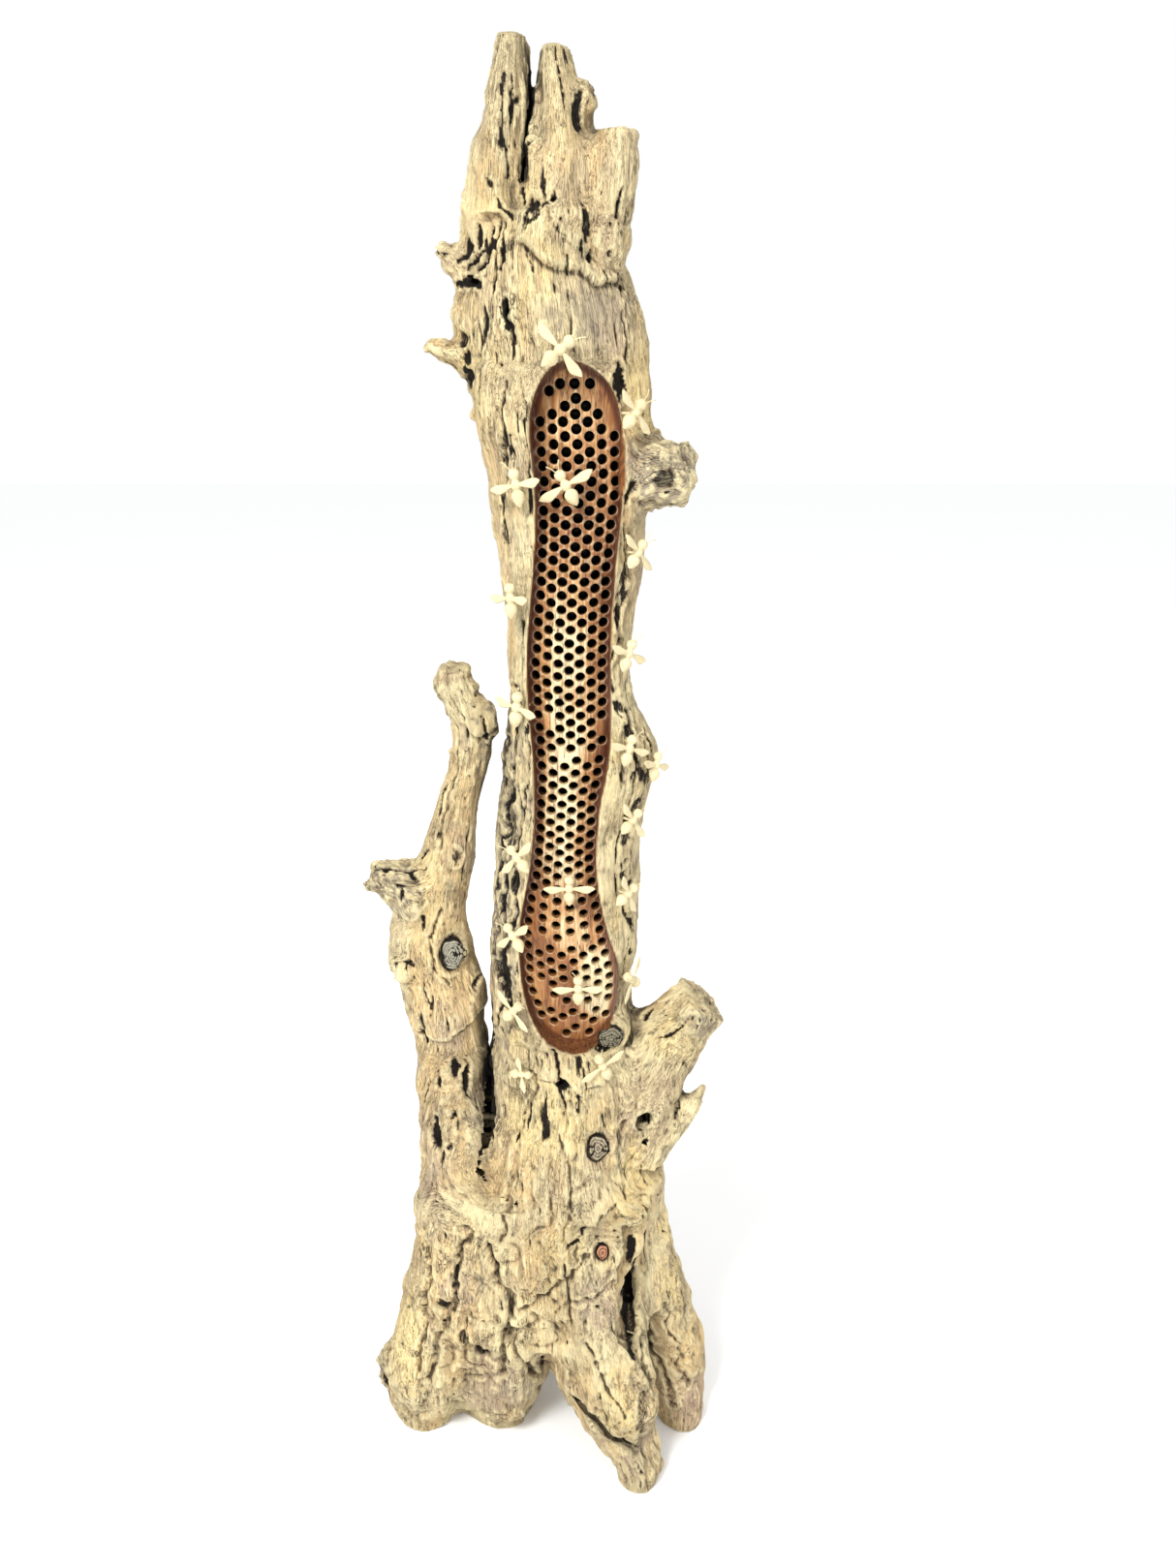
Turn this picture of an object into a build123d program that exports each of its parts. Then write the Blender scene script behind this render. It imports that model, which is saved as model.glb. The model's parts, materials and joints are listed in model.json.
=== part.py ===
"""Insect hotel: a weathered root stem standing on its own roots, with a drilled nest niche and carved bees.

Millimetres, +Z up, the front faces -Y, the origin is on the floor under the middle of the bounding box.
"""
import os
from math import cos, hypot, pi, sin

from build123d import *

# Driving dimensions -----------------------------------------------------------------------------
NEST_HOLE_RADIUS = 5.0      # every nest hole is drilled with a 10 mm bit
NEST_HOLE_DEPTH = 24.0
NEST_ROW_PITCH = 6.65       # between rows
NEST_GAPS = [(590, 4), (612, 6), (686, 7), (890, 5), (1300, 6)]     # (up to this height, gaps between the columns)
NEST_EDGE = 7.0             # from the niche wall to the nearest hole centre
NEST_NARROWING = 0.84       # sideways spacing at the ends of the holes, as a share of that at the face
NEST_WALL = 0.3             # least wood between two holes
NEST_AIM_Y = 100.0          # every hole is drilled toward this depth behind the middle of the niche
NICHE_FLOOR_Y = -22.0       # back wall of the niche, where the heartwood starts
NEST_CLEARANCE = 0.3        # between the heartwood and the niche walls
PEG_RADIUS = 1.3
PEG_LENGTH = 19.0
BEE_LIFT = 10.0             # middle of a bee above the wood
WING_THICKNESS = 1.5
ANTENNA_RADIUS = 0.45
HEAD_RADIUS = 5.2           # of a full-size bee
OUTLINE_POINTS = 12

# (height, left, right, front, back) of the wood at each section ------------------------------------
STEM = [
    (370, -60, 138, -100, 92),
    (450, -56, 128, -92, 82),
    (540, -52, 113, -85, 75),
    (640, -50, 107, -80, 70),
    (731, -44, 111, -78, 68),
    (832, -37, 118, -77, 66),
    (885, -36, 131, -77, 65),
    (930, -30, 112, -77, 64),
    (1049, -29, 111, -78, 63),
    (1140, -40, 116, -78, 62),
    (1230, -57, 114, -77, 60),
    (1310, -65, 106, -74, 56),
    (1385, -52, 92, -66, 50),
]
CROWN = [
    (190, -146, 150, -108, 104),
    (240, -134, 143, -104, 96),
    (300, -127, 140, -102, 94),
    (370, -126, 141, -100, 92),
]
SIDE_LIMB = [
    (370, -126, -63, -38, 32),
    (454, -133, -61, -36, 30),
    (520, -138, -60, -36, 30),
    (590, -151, -62, -37, 31),
    (650, -161, -72, -36, 30),
    (720, -150, -71, -34, 28),
    (790, -117, -60, -32, 26),
    (868, -91, -45, -30, 22),
    (905, -84, -42, -30, 20),
    (944, -98, -54, -28, 16),
    (972, -94, -64, -24, 10),
]
LEFT_PRONG = [
    (1385, -52, 9, -64, 46),
    (1440, -43, 9, -60, 40),
    (1490, -31, 8, -54, 32),
    (1526, -23, 7, -46, 22),
]
MIDDLE_PRONG = [
    (1385, 12, 56, -66, 48),
    (1440, 12, 57, -62, 42),
    (1480, 12, 52, -56, 34),
    (1517, 13, 44, -46, 22),
]
RIGHT_STUB = [
    (1385, 59, 91, -62, 42),
    (1420, 60, 99, -60, 38),
    (1452, 60, 104, -56, 28),
]
FRONT_ROOT = [
    (0, 92, 142, -135, -84),
    (30, 84, 142, -138, -74),
    (90, 42, 122, -132, -52),
    (140, 14, 112, -120, -36),
    (190, 6, 104, -106, -20),
]
LEFT_ROOT = [
    (0, -188, -114, -46, 36),
    (50, -190, -92, -58, 38),
    (120, -170, -68, -72, 42),
    (190, -144, -54, -74, 44),
]
MIDDLE_ROOT = [
    (0, -92, -14, -36, 30),
    (60, -88, -8, -56, 28),
    (130, -62, 2, -82, 18),
    (190, -50, 2, -98, 14),
]
REAR_RIGHT_ROOT = [
    (0, 146, 206, -48, 22),
    (60, 132, 204, -44, 34),
    (130, 108, 176, -30, 50),
    (190, 96, 148, -16, 56),
]
REAR_ROOT = [
    (0, -46, 36, 70, 136),
    (60, -50, 44, 56, 134),
    (130, -48, 66, 36, 118),
    (190, -50, 88, 20, 102),
]

# Front view outline of the niche, (x, z), clockwise from the crown of its arch ---------------------
NICHE = [
    (45, 1264), (76, 1244), (88, 1205), (90, 1160), (82, 1080), (78, 1000), (78, 900), (68, 840),
    (65, 770), (76, 702), (87, 655), (86, 612), (77, 581), (52, 567), (24, 573), (3, 592),
    (-12, 636), (-14, 704),
    (-1, 780), (4, 870), (-2, 980), (6, 1080), (9, 1150), (5, 1215), (20, 1254),
]
# (height, middle, half width, front of the middle, front of the sides) of the barrel-shaped nest face
NEST_FACE = [
    (560, 36, 56, -62, -44),
    (655, 42, 56, -68, -50),
    (760, 32, 52, -57, -38),
    (900, 40, 52, -56, -36),
    (1050, 41, 54, -58, -38),
    (1200, 47, 54, -57, -38),
    (1270, 46, 54, -52, -36),
]

# Bees: (height, x, heading in degrees from straight up, leaning right, size, sits on the nest face) --
BEES = [
    (1273, 32, 50, 1.08, False),
    (1156, 38, -30, 1.05, True),
    (1157, -9, -12, 1.00, False),
    (1220, 100, 46, 1.00, False),
    (1094, 104, 45, 0.95, False),
    (1051, -17, -4, 1.00, False),
    (998, 96, 25, 0.95, False),
    (945, -13, 8, 1.08, False),
    (914, 92, 40, 0.95, False),
    (897, 129, -20, 0.92, False),
    (826, 102, 55, 0.95, False),
    (788, -15, -48, 1.00, False),
    (752, 37, 0, 0.98, True),
    (744, 98, 66, 0.95, False),
    (700, -21, -40, 1.00, False),
    (641, 46, 0, 1.00, True),
    (638, 104, -50, 1.00, False),
    (614, -23, 42, 1.00, False),
    (542, -15, 80, 0.80, False),
    (552, 73, -24, 1.05, False),
]


def outline(left, right, front, back, wobble, phase):
    """Points round one section of weathered wood inside the given limits."""
    centre_x = (left + right) / 2
    centre_y = (front + back) / 2
    radius_x = (right - left) / 2
    radius_y = (back - front) / 2
    points = []
    for k in range(OUTLINE_POINTS):
        angle = 2 * pi * k / OUTLINE_POINTS
        swell = 1 + wobble * (sin(4 * angle + phase) + 0.7 * sin(3 * angle + 2 * phase) - 0.7)
        points.append((centre_x + radius_x * swell * cos(angle), centre_y + radius_y * swell * sin(angle)))
    return points


def stem_part(stations, wobble=0.03):
    """Wood that grows upward through level sections."""
    with BuildPart() as piece:
        for z, left, right, front, back in stations:
            with BuildSketch(Plane.XY.offset(z)):
                with BuildLine():
                    Spline(*outline(left, right, front, back, wobble, z / 90), periodic=True)
                make_face()
        loft()
    return piece.part


def branch_part(stations, wobble=0.05):
    """Wood that grows along its own line through (x, y, z, radius) stations, with square ends."""
    first, last = Vector(*stations[0][:3]), Vector(*stations[-1][:3])
    along = (last - first).normalized()
    across = (Vector(0, 1, 0) - along * along.dot(Vector(0, 1, 0))).normalized()
    with BuildPart() as piece:
        for x, y, z, radius in stations:
            with BuildSketch(Plane(origin=(x, y, z), x_dir=across, z_dir=along)):
                with BuildLine():
                    Spline(*outline(-radius, radius, -radius, radius, wobble, x / 20), periodic=True)
                make_face()
        loft()
    return piece.part


def between(stations, z):
    """The limits of a stem at any height."""
    for low, high in zip(stations, stations[1:]):
        if low[0] <= z <= high[0]:
            share = (z - low[0]) / (high[0] - low[0])
            return [a + share * (b - a) for a, b in zip(low[1:], high[1:])]
    raise ValueError(z)


def nest_face(x, z):
    """Depth and sideways slope of the nest face at (x, z)."""
    middle, half, front, side = between(NEST_FACE, z)
    share = (x - middle) / half
    return front + (side - front) * share ** 2, 2 * (side - front) * share / half


def niche_span(z):
    """Left and right wall of the niche at a height."""
    crossings = []
    for (x1, z1), (x2, z2) in zip(NICHE, NICHE[1:] + NICHE[:1]):
        if (z1 - z) * (z2 - z) < 0:
            crossings.append(x1 + (x2 - x1) * (z - z1) / (z2 - z1))
    return min(crossings), max(crossings)


def inset_outline(points, distance):
    """The same clockwise outline moved inward by a distance at every point."""
    inset = []
    for before, (x, z), after in zip(points[-1:] + points[:-1], points, points[1:] + points[:1]):
        along_x, along_z = after[0] - before[0], after[1] - before[1]
        length = hypot(along_x, along_z)
        inset.append((x + distance * along_z / length, z - distance * along_x / length))
    return inset


def bee_plane(z, x, heading, on_nest):
    """Plane of one bee: its origin in the middle of the thorax, y toward the head, z away from the wood."""
    if on_nest:
        depth, slope = nest_face(x, z)
        normal = Vector(slope, -1, 0).normalized()
        middle = Vector(x, depth, z) + normal * BEE_LIFT
    else:
        left, right, front, back = between(STEM, z)
        half_x = (right - left) / 2
        half_y = (back - front) / 2
        across = (x - (left + right) / 2) / (half_x + BEE_LIFT)
        across = max(-0.96, min(0.96, across))
        forward = (1 - across ** 2) ** 0.5
        normal = Vector(across / half_x, -forward / half_y, 0).normalized()
        foot = Vector((left + right) / 2 + half_x * across, (front + back) / 2 - half_y * forward, z)
        middle = foot + normal * BEE_LIFT
    side = Vector(0, 0, 1).cross(normal)
    lean = heading * pi / 180
    head = Vector(0, 0, 1) * cos(lean) + side * sin(lean)
    return Plane(origin=middle, x_dir=head.cross(normal), z_dir=normal)


def bee_body(plane, size):
    """Head, thorax and pointed abdomen turned in one piece about the bee's own line."""
    neck = 10.8 - (HEAD_RADIUS ** 2 - 2.6 ** 2) ** 0.5
    with BuildPart() as piece:
        with BuildSketch(plane):
            with BuildLine():
                Line((0, 16 * size), (0, -19 * size))
                Spline((0, -19 * size), (2.6 * size, -16.5 * size), (6.2 * size, -9 * size),
                       (4.6 * size, -4.4 * size), (2.6 * size, -3.2 * size))
                ThreePointArc((2.6 * size, -3.2 * size), (4.6 * size, 1.4 * size), (2.6 * size, neck * size))
                ThreePointArc((2.6 * size, neck * size), (HEAD_RADIUS * size, 10.8 * size), (0, 16 * size))
            make_face()
        revolve(axis=Axis(plane.origin, plane.y_dir))
    return piece.part


def bee_wing(plane, size, hand):
    """One flat leaf-shaped wing on the right (hand 1) or left (hand -1) of the thorax."""
    seat = plane.offset(2.0 * size - WING_THICKNESS / 2)
    with BuildPart() as piece:
        with BuildSketch(seat):
            with BuildLine():
                Polyline((hand * 1.5 * size, 3.0 * size), (hand * 9 * size, 4.6 * size),
                         (hand * 20 * size, 5.2 * size), (hand * 28 * size, 2.2 * size),
                         (hand * 25 * size, -1.2 * size), (hand * 22.5 * size, -3.0 * size),
                         (hand * 18 * size, -5.6 * size), (hand * 12 * size, -4.2 * size),
                         (hand * 6 * size, -1.0 * size), (hand * 1.5 * size, -0.4 * size), close=True)
            make_face()
        extrude(amount=WING_THICKNESS)
    return piece.part


def bee_antenna(plane, size, hand):
    """One thin feeler, from the head outward."""
    start = plane.from_local_coords(Vector(hand * 1.6 * size, 14.0 * size, 2.6 * size))
    end = plane.from_local_coords(Vector(hand * 6.5 * size, 23.0 * size, 5.5 * size))
    line = Plane(origin=start, z_dir=(end - start).normalized())
    with BuildPart(line) as piece:
        Cylinder(ANTENNA_RADIUS, (end - start).length, align=(Align.CENTER, Align.CENTER, Align.MIN))
    return piece.part


def bee_peg(plane):
    """The round peg a bee stands on, from inside the thorax down into the wood."""
    with BuildPart(plane.offset(1.0 - PEG_LENGTH)) as piece:
        Cylinder(PEG_RADIUS, PEG_LENGTH, align=(Align.CENTER, Align.CENTER, Align.MIN))
    return piece.part


def dead_knot(x, y, z, radius, depth):
    """A round dead knot or plug set in the front of the wood, its face toward -Y."""
    with BuildPart(Plane(origin=(x, y, z), x_dir=(1, 0, 0), z_dir=(0, -1, 0))) as piece:
        Cylinder(radius, depth, align=(Align.CENTER, Align.CENTER, Align.MAX))
        fillet(piece.faces().sort_by(Axis.Y)[0].edges(), radius * 0.25)
    return piece.part


planes = [bee_plane(z, x, heading, on_nest) for z, x, heading, size, on_nest in BEES]
sizes = [bee[3] for bee in BEES]
on_nest = [bee[4] for bee in BEES]
pegs = [bee_peg(plane) for plane in planes]
knot_plug_solid = dead_knot(73, -87, 324, 10, 26)
nest_knot_solid = dead_knot(82, -72, 574, 15, 26)
limb_knot_solid = dead_knot(-90, -36, 657, 15, 22)
crown_knot_solid = dead_knot(68, -86, 449, 13, 24)

# The stem -------------------------------------------------------------------------------------------
with BuildPart() as niche_space:
    with BuildSketch(Plane.XZ.offset(-NICHE_FLOOR_Y)):
        with BuildLine():
            Spline(*NICHE, periodic=True)
        make_face()
    extrude(amount=140)

with BuildPart() as core_space:
    with BuildSketch(Plane.XZ.offset(-NICHE_FLOOR_Y)):
        with BuildLine():
            Spline(*inset_outline(NICHE, NEST_CLEARANCE), periodic=True)
        make_face()
    extrude(amount=140)

with BuildPart() as trunk:
    add(stem_part(STEM))
    add(niche_space.part, mode=Mode.SUBTRACT)
    add([peg for peg, seated in zip(pegs, on_nest) if not seated], mode=Mode.SUBTRACT)
    add([nest_knot_solid, crown_knot_solid], mode=Mode.SUBTRACT)
    # dark hollow under the right limb
    with Locations(Location((122, -62, 470), (0, 40, 0))):
        Cylinder(13, 60, rotation=(90, 0, 0), mode=Mode.SUBTRACT)
trunk.part.label = "trunk"

# The drilled heartwood: a barrel-shaped face with staggered columns of holes --------------------------
with BuildPart() as nest_core:
    for z, middle, half, front, side in NEST_FACE:
        with BuildSketch(Plane.XY.offset(z)):
            with BuildLine():
                face_edge = ThreePointArc((middle - half, side), (middle, front), (middle + half, side))
                Polyline(face_edge @ 0, (middle - half, NICHE_FLOOR_Y), (middle + half, NICHE_FLOOR_Y),
                         face_edge @ 1)
            make_face()
    loft(ruled=True)
    add(core_space.part, mode=Mode.INTERSECT)


def room_for_hole(x, z):
    """True where a nest hole keeps its distance from the niche walls, the pegs and the dead knot."""
    for rise, margin in ((-7, 3.0), (0, NEST_EDGE - 0.6), (7, 3.0)):
        if not 569 < z + rise < 1264:
            return False
        left, right = niche_span(z + rise)
        if not left + margin < x < right - margin:
            return False
    if min(hypot(x - bee[1], z - bee[0]) for bee in BEES if bee[4]) < 7.0:
        return False
    return hypot(x - 82, z - 574) > 21


def nest_hole_spots():
    """(x, z) of every nest hole: staggered columns that spread and close with the niche."""
    spots = []
    for row in range(103):
        height = 574.3 + row * NEST_ROW_PITCH
        left, right = niche_span(height)
        gaps = [count for top, count in NEST_GAPS if height < top][0]
        gap = (right - left - 2 * NEST_EDGE) / gaps
        for column in range(row % 2, gaps + 1, 2):
            # drilled by hand: every hole strays a little from its place
            x = left + NEST_EDGE + column * gap + 0.4 * sin(2.3 * row + 1.9 * column)
            z = height + 0.3 * sin(1.7 * row + 2.9 * column)
            crowded = any(hypot((x - other_x) * NEST_NARROWING, z - other_z)
                          < 2 * NEST_HOLE_RADIUS + NEST_WALL for other_x, other_z in spots)
            if room_for_hole(x, z) and not crowded:
                spots.append((x, z))
    return spots


hole_places = []
for x, z in nest_hole_spots():
    depth, slope = nest_face(x, z)
    aim = Vector(between(NEST_FACE, z)[0] - x, NEST_AIM_Y - depth, 0).normalized()
    mouth = Vector(x, depth, z) - aim * 8
    hole_places.append(Plane(origin=mouth, x_dir=(0, 0, 1), z_dir=aim).location)

hole_places.sort(key=lambda place: hypot(place.position.X - 41, place.position.Z - 950))
print("middle nest hole:", hole_places[0].position, Plane(hole_places[0]).z_dir)

with BuildPart() as nest_core_drilled:
    add(nest_core.part)
    add(nest_knot_solid, mode=Mode.SUBTRACT)
    with Locations(*hole_places):
        Cylinder(NEST_HOLE_RADIUS, NEST_HOLE_DEPTH + 8, align=(Align.CENTER, Align.CENTER, Align.MIN),
                 mode=Mode.SUBTRACT)
    add([peg for peg, seated in zip(pegs, on_nest) if seated], mode=Mode.SUBTRACT)
nest_core_drilled.part.label = "nest_core"
print("nest holes:", len(hole_places))

# The forked top -------------------------------------------------------------------------------------
with BuildPart() as left_prong:
    add(stem_part(LEFT_PRONG))
left_prong.part.label = "left_prong"

with BuildPart() as middle_prong:
    add(stem_part(MIDDLE_PRONG))
middle_prong.part.label = "middle_prong"

with BuildPart() as right_stub:
    add(stem_part(RIGHT_STUB))
    # shallow hollow in the sawn top
    with Locations((77, -14, 1460)):
        Cylinder(11, 16, mode=Mode.SUBTRACT)
right_stub.part.label = "right_stub"

with BuildPart() as top_knot:
    add(branch_part([(38, -26, 1470, 17), (50, -32, 1476, 17), (62, -36, 1481, 11)]))
    add(middle_prong.part, mode=Mode.SUBTRACT)
top_knot.part.label = "top_knot"

# Knots and thorns of the stem -----------------------------------------------------------------------
with BuildPart() as broken_knot:
    add(branch_part([(94, -22, 1170, 36), (122, -27, 1167, 33), (144, -30, 1162, 29), (156, -31, 1158, 22)]))
    add(trunk.part, mode=Mode.SUBTRACT)
    add(niche_space.part, mode=Mode.SUBTRACT)
broken_knot.part.label = "broken_knot"

with BuildPart() as upper_thorn:
    add(branch_part([(-50, -26, 1338, 15), (-64, -30, 1350, 12), (-77, -33, 1360, 6)]))
    add(trunk.part, mode=Mode.SUBTRACT)
upper_thorn.part.label = "upper_thorn"

with BuildPart() as lower_thorn:
    add(branch_part([(-54, -24, 1266, 15), (-74, -28, 1274, 10), (-92, -31, 1282, 5)]))
    add(trunk.part, mode=Mode.SUBTRACT)
lower_thorn.part.label = "lower_thorn"

# Limbs ----------------------------------------------------------------------------------------------
with BuildPart() as side_limb:
    add(stem_part(SIDE_LIMB))
    add(limb_knot_solid, mode=Mode.SUBTRACT)
side_limb.part.label = "side_limb"

with BuildPart() as limb_stub:
    add(branch_part([(-124, -6, 716, 32), (-150, -8, 732, 27), (-180, -10, 744, 15)]))
    add(side_limb.part, mode=Mode.SUBTRACT)
limb_stub.part.label = "limb_stub"

with BuildPart() as right_limb:
    add(branch_part([(92, -18, 492, 46), (124, -20, 530, 41), (158, -22, 568, 36), (184, -24, 600, 33)]))
    add(trunk.part, mode=Mode.SUBTRACT)
    add([niche_space.part, nest_knot_solid], mode=Mode.SUBTRACT)
right_limb.part.label = "right_limb"

with BuildPart() as spike:
    add(branch_part([(122, -34, 408, 27), (154, -38, 446, 16), (188, -42, 502, 5)]))
    add(trunk.part, mode=Mode.SUBTRACT)
    add(right_limb.part, mode=Mode.SUBTRACT)
spike.part.label = "spike"

# Root crown and roots -------------------------------------------------------------------------------
with BuildPart() as root_crown:
    add(stem_part(CROWN))
    add(knot_plug_solid, mode=Mode.SUBTRACT)
root_crown.part.label = "root_crown"

with BuildPart() as front_root:
    add(stem_part(FRONT_ROOT))
front_root.part.label = "front_root"

with BuildPart() as left_root:
    add(stem_part(LEFT_ROOT))
left_root.part.label = "left_root"

with BuildPart() as middle_root:
    add(stem_part(MIDDLE_ROOT))
middle_root.part.label = "middle_root"

with BuildPart() as rear_right_root:
    add(stem_part(REAR_RIGHT_ROOT))
rear_right_root.part.label = "rear_right_root"

with BuildPart() as rear_root:
    add(stem_part(REAR_ROOT))
rear_root.part.label = "rear_root"

with BuildPart() as heel_knob:
    add(branch_part([(-172, 4, 62, 27), (-191, 8, 58, 24), (-205, 10, 56, 17)]))
    add(left_root.part, mode=Mode.SUBTRACT)
heel_knob.part.label = "heel_knob"

# Dead knots and the reddish plug --------------------------------------------------------------------
with BuildPart() as knot_plug:
    add(knot_plug_solid)
knot_plug.part.label = "knot_plug"

with BuildPart() as nest_dead_knot:
    add(nest_knot_solid)
nest_dead_knot.part.label = "nest_dead_knot"

with BuildPart() as limb_dead_knot:
    add(limb_knot_solid)
limb_dead_knot.part.label = "limb_dead_knot"

with BuildPart() as crown_dead_knot:
    add(crown_knot_solid)
crown_dead_knot.part.label = "crown_dead_knot"

timber = [
    trunk, nest_core_drilled, left_prong, middle_prong, right_stub, top_knot, broken_knot, upper_thorn,
    lower_thorn, side_limb, limb_stub, right_limb, spike, root_crown, front_root, left_root, middle_root,
    rear_right_root, rear_root, heel_knob, knot_plug, nest_dead_knot, limb_dead_knot, crown_dead_knot,
]

# Bees -----------------------------------------------------------------------------------------------
bee_bodies = []
left_wings = []
right_wings = []
antennae = []
for number, (plane, size, peg) in enumerate(zip(planes, sizes, pegs), 1):
    with BuildPart() as body:
        add(bee_body(plane, size))
        add(peg, mode=Mode.SUBTRACT)
    body.part.label = f"bee_{number:02d}"
    bee_bodies.append(body)
    left_wings.append(bee_wing(plane, size, -1) - body.part - peg)
    right_wings.append(bee_wing(plane, size, 1) - body.part - peg)
    antennae += [bee_antenna(plane, size, hand) - body.part for hand in (-1, 1)]

os.makedirs("parts", exist_ok=True)
for piece in timber + bee_bodies:
    export_step(piece.part, f"parts/{piece.part.label}.step")
groups = {"bee_wings_left": left_wings, "bee_wings_right": right_wings, "bee_antennae": antennae,
          "bee_pegs": pegs}
for label, members in groups.items():
    solids = [solid for member in members for solid in member.solids()]
    print(label, len(solids))
    export_step(Compound(label=label, children=solids), f"parts/{label}.step")

for piece in timber:
    box = piece.part.bounding_box()
    print(f"{piece.part.label:18s} solids {len(piece.part.solids())} "
          f" volume {piece.part.volume / 1000:9.1f} cm3 "
          f" x {box.min.X:7.1f} {box.max.X:7.1f}  y {box.min.Y:7.1f} {box.max.Y:7.1f} "
          f" z {box.min.Z:7.1f} {box.max.Z:7.1f}")
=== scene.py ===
"""Looks of the insect hotel: weathered root wood, a drilled nest core and carved bees on pegs.

Fields and shapes are worked out in millimetres in the row frame, and meshes are made in metres.
"""
import json
import math

import bpy
import numpy as np
import openvdb
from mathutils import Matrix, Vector, geometry

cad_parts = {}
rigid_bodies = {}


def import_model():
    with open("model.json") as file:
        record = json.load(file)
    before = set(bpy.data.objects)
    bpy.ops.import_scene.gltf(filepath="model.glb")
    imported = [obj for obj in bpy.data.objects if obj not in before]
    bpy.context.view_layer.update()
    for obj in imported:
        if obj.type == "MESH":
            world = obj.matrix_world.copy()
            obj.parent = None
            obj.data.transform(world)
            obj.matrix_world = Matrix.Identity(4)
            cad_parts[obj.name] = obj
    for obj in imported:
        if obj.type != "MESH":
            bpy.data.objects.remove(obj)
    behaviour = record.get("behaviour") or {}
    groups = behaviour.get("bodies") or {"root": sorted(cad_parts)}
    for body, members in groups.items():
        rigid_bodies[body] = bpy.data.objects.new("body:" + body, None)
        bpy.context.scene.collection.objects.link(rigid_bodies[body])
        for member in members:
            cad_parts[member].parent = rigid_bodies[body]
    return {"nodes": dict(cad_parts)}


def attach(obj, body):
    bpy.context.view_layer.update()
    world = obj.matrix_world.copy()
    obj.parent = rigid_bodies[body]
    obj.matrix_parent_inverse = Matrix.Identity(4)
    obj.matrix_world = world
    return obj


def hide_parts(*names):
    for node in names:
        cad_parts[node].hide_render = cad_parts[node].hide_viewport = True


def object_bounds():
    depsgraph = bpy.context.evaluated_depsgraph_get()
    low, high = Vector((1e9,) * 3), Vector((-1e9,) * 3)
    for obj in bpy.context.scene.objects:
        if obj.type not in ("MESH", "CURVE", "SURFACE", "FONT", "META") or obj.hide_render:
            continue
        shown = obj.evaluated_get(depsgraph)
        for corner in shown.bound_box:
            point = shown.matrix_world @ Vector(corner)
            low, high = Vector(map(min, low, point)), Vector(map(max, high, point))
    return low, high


for leftover in list(bpy.data.objects):
    bpy.data.objects.remove(leftover)
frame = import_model()
cad_low, cad_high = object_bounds()
MM = 1000.0

# ------------------------------------------------------------------------------------------------
# Repeatable noise
# ------------------------------------------------------------------------------------------------
CELLS = 64
NOISE_SEED = 7
NOISE_TABLE = np.random.default_rng(NOISE_SEED).uniform(-1, 1, CELLS ** 3).astype(np.float32)
CORNERS = [(corner & 1, corner >> 1 & 1, corner >> 2) for corner in range(8)]


def noise(points, seed=0):
    """Smooth noise between -1 and 1 at (n, 3) points; its cells are one unit wide."""
    shifted = points + np.array([13.7, 5.1, 9.3]) * (seed + 1)
    base = np.floor(shifted).astype(np.int64)
    part = (shifted - base).astype(np.float32)
    part = part * part * (3 - 2 * part)
    total = np.zeros(len(points), np.float32)
    for step in CORNERS:
        weight = np.ones(len(points), np.float32)
        index = np.zeros(len(points), np.int64)
        for axis in range(3):
            weight *= part[:, axis] if step[axis] else 1 - part[:, axis]
            index = index * CELLS + ((base[:, axis] + step[axis]) & (CELLS - 1))
        total += weight * NOISE_TABLE[index]
    return total


def ramp(values, start, end):
    """0 before start, 1 after end, smooth between; start may be the larger."""
    share = np.clip((values - start) / (end - start), 0, 1)
    return share * share * (3 - 2 * share)


# ------------------------------------------------------------------------------------------------
# The solid of the timber as a distance field
# ------------------------------------------------------------------------------------------------
VOXEL = 2.4
BAND = 28.0
MARGIN = 26.0
field_low = np.array(cad_low) * MM - MARGIN
field_size = np.ceil((np.array(cad_high) * MM + MARGIN - field_low) / VOXEL).astype(int)
field = np.full(field_size, BAND, np.float32)
node_fields = {}


def region_of(low, high):
    """First and last index of the field, on each axis, round a box given in millimetres."""
    start = np.clip(np.floor((low - field_low) / VOXEL).astype(int), 0, field_size - 2)
    stop = np.clip(np.ceil((high - field_low) / VOXEL).astype(int) + 1, start + 2, field_size)
    return start, stop


def grid_points(start, stop):
    """Coordinates of the voxels of a region, as three arrays that broadcast together."""
    axes = [np.arange(start[k], stop[k]) * VOXEL + field_low[k] for k in range(3)]
    return np.meshgrid(*[a.astype(np.float32) for a in axes], indexing="ij", sparse=True)


def cad_field(name):
    """Distance to a CAD node's surface, negative inside, over the region round it."""
    mesh = frame["nodes"][name].data
    points = np.empty(len(mesh.vertices) * 3, np.float32)
    mesh.vertices.foreach_get("co", points)
    points = points.reshape(-1, 3) * MM
    mesh.calc_loop_triangles()
    triangles = np.empty(len(mesh.loop_triangles) * 3, np.int32)
    mesh.loop_triangles.foreach_get("vertices", triangles)
    start, stop = region_of(points.min(0) - BAND, points.max(0) + BAND)
    grid = openvdb.FloatGrid.createLevelSetFromPolygons(
        (points - field_low) / VOXEL, triangles=triangles.reshape(-1, 3).astype(np.uint32),
        transform=openvdb.createLinearTransform(voxelSize=1.0), halfWidth=BAND / VOXEL)
    dense = np.empty(stop - start, np.float32)
    grid.copyToArray(dense, ijk=tuple(int(v) for v in start))
    dense *= VOXEL
    node_fields[name] = (start, stop, dense, points)
    return start, stop, dense


def soft_min(a, b, reach):
    """The smaller of two distances, rounded off where they are within reach of each other."""
    share = np.clip(0.5 + 0.5 * (b - a) / reach, 0, 1)
    return b * (1 - share) + a * share - reach * share * (1 - share)


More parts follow.
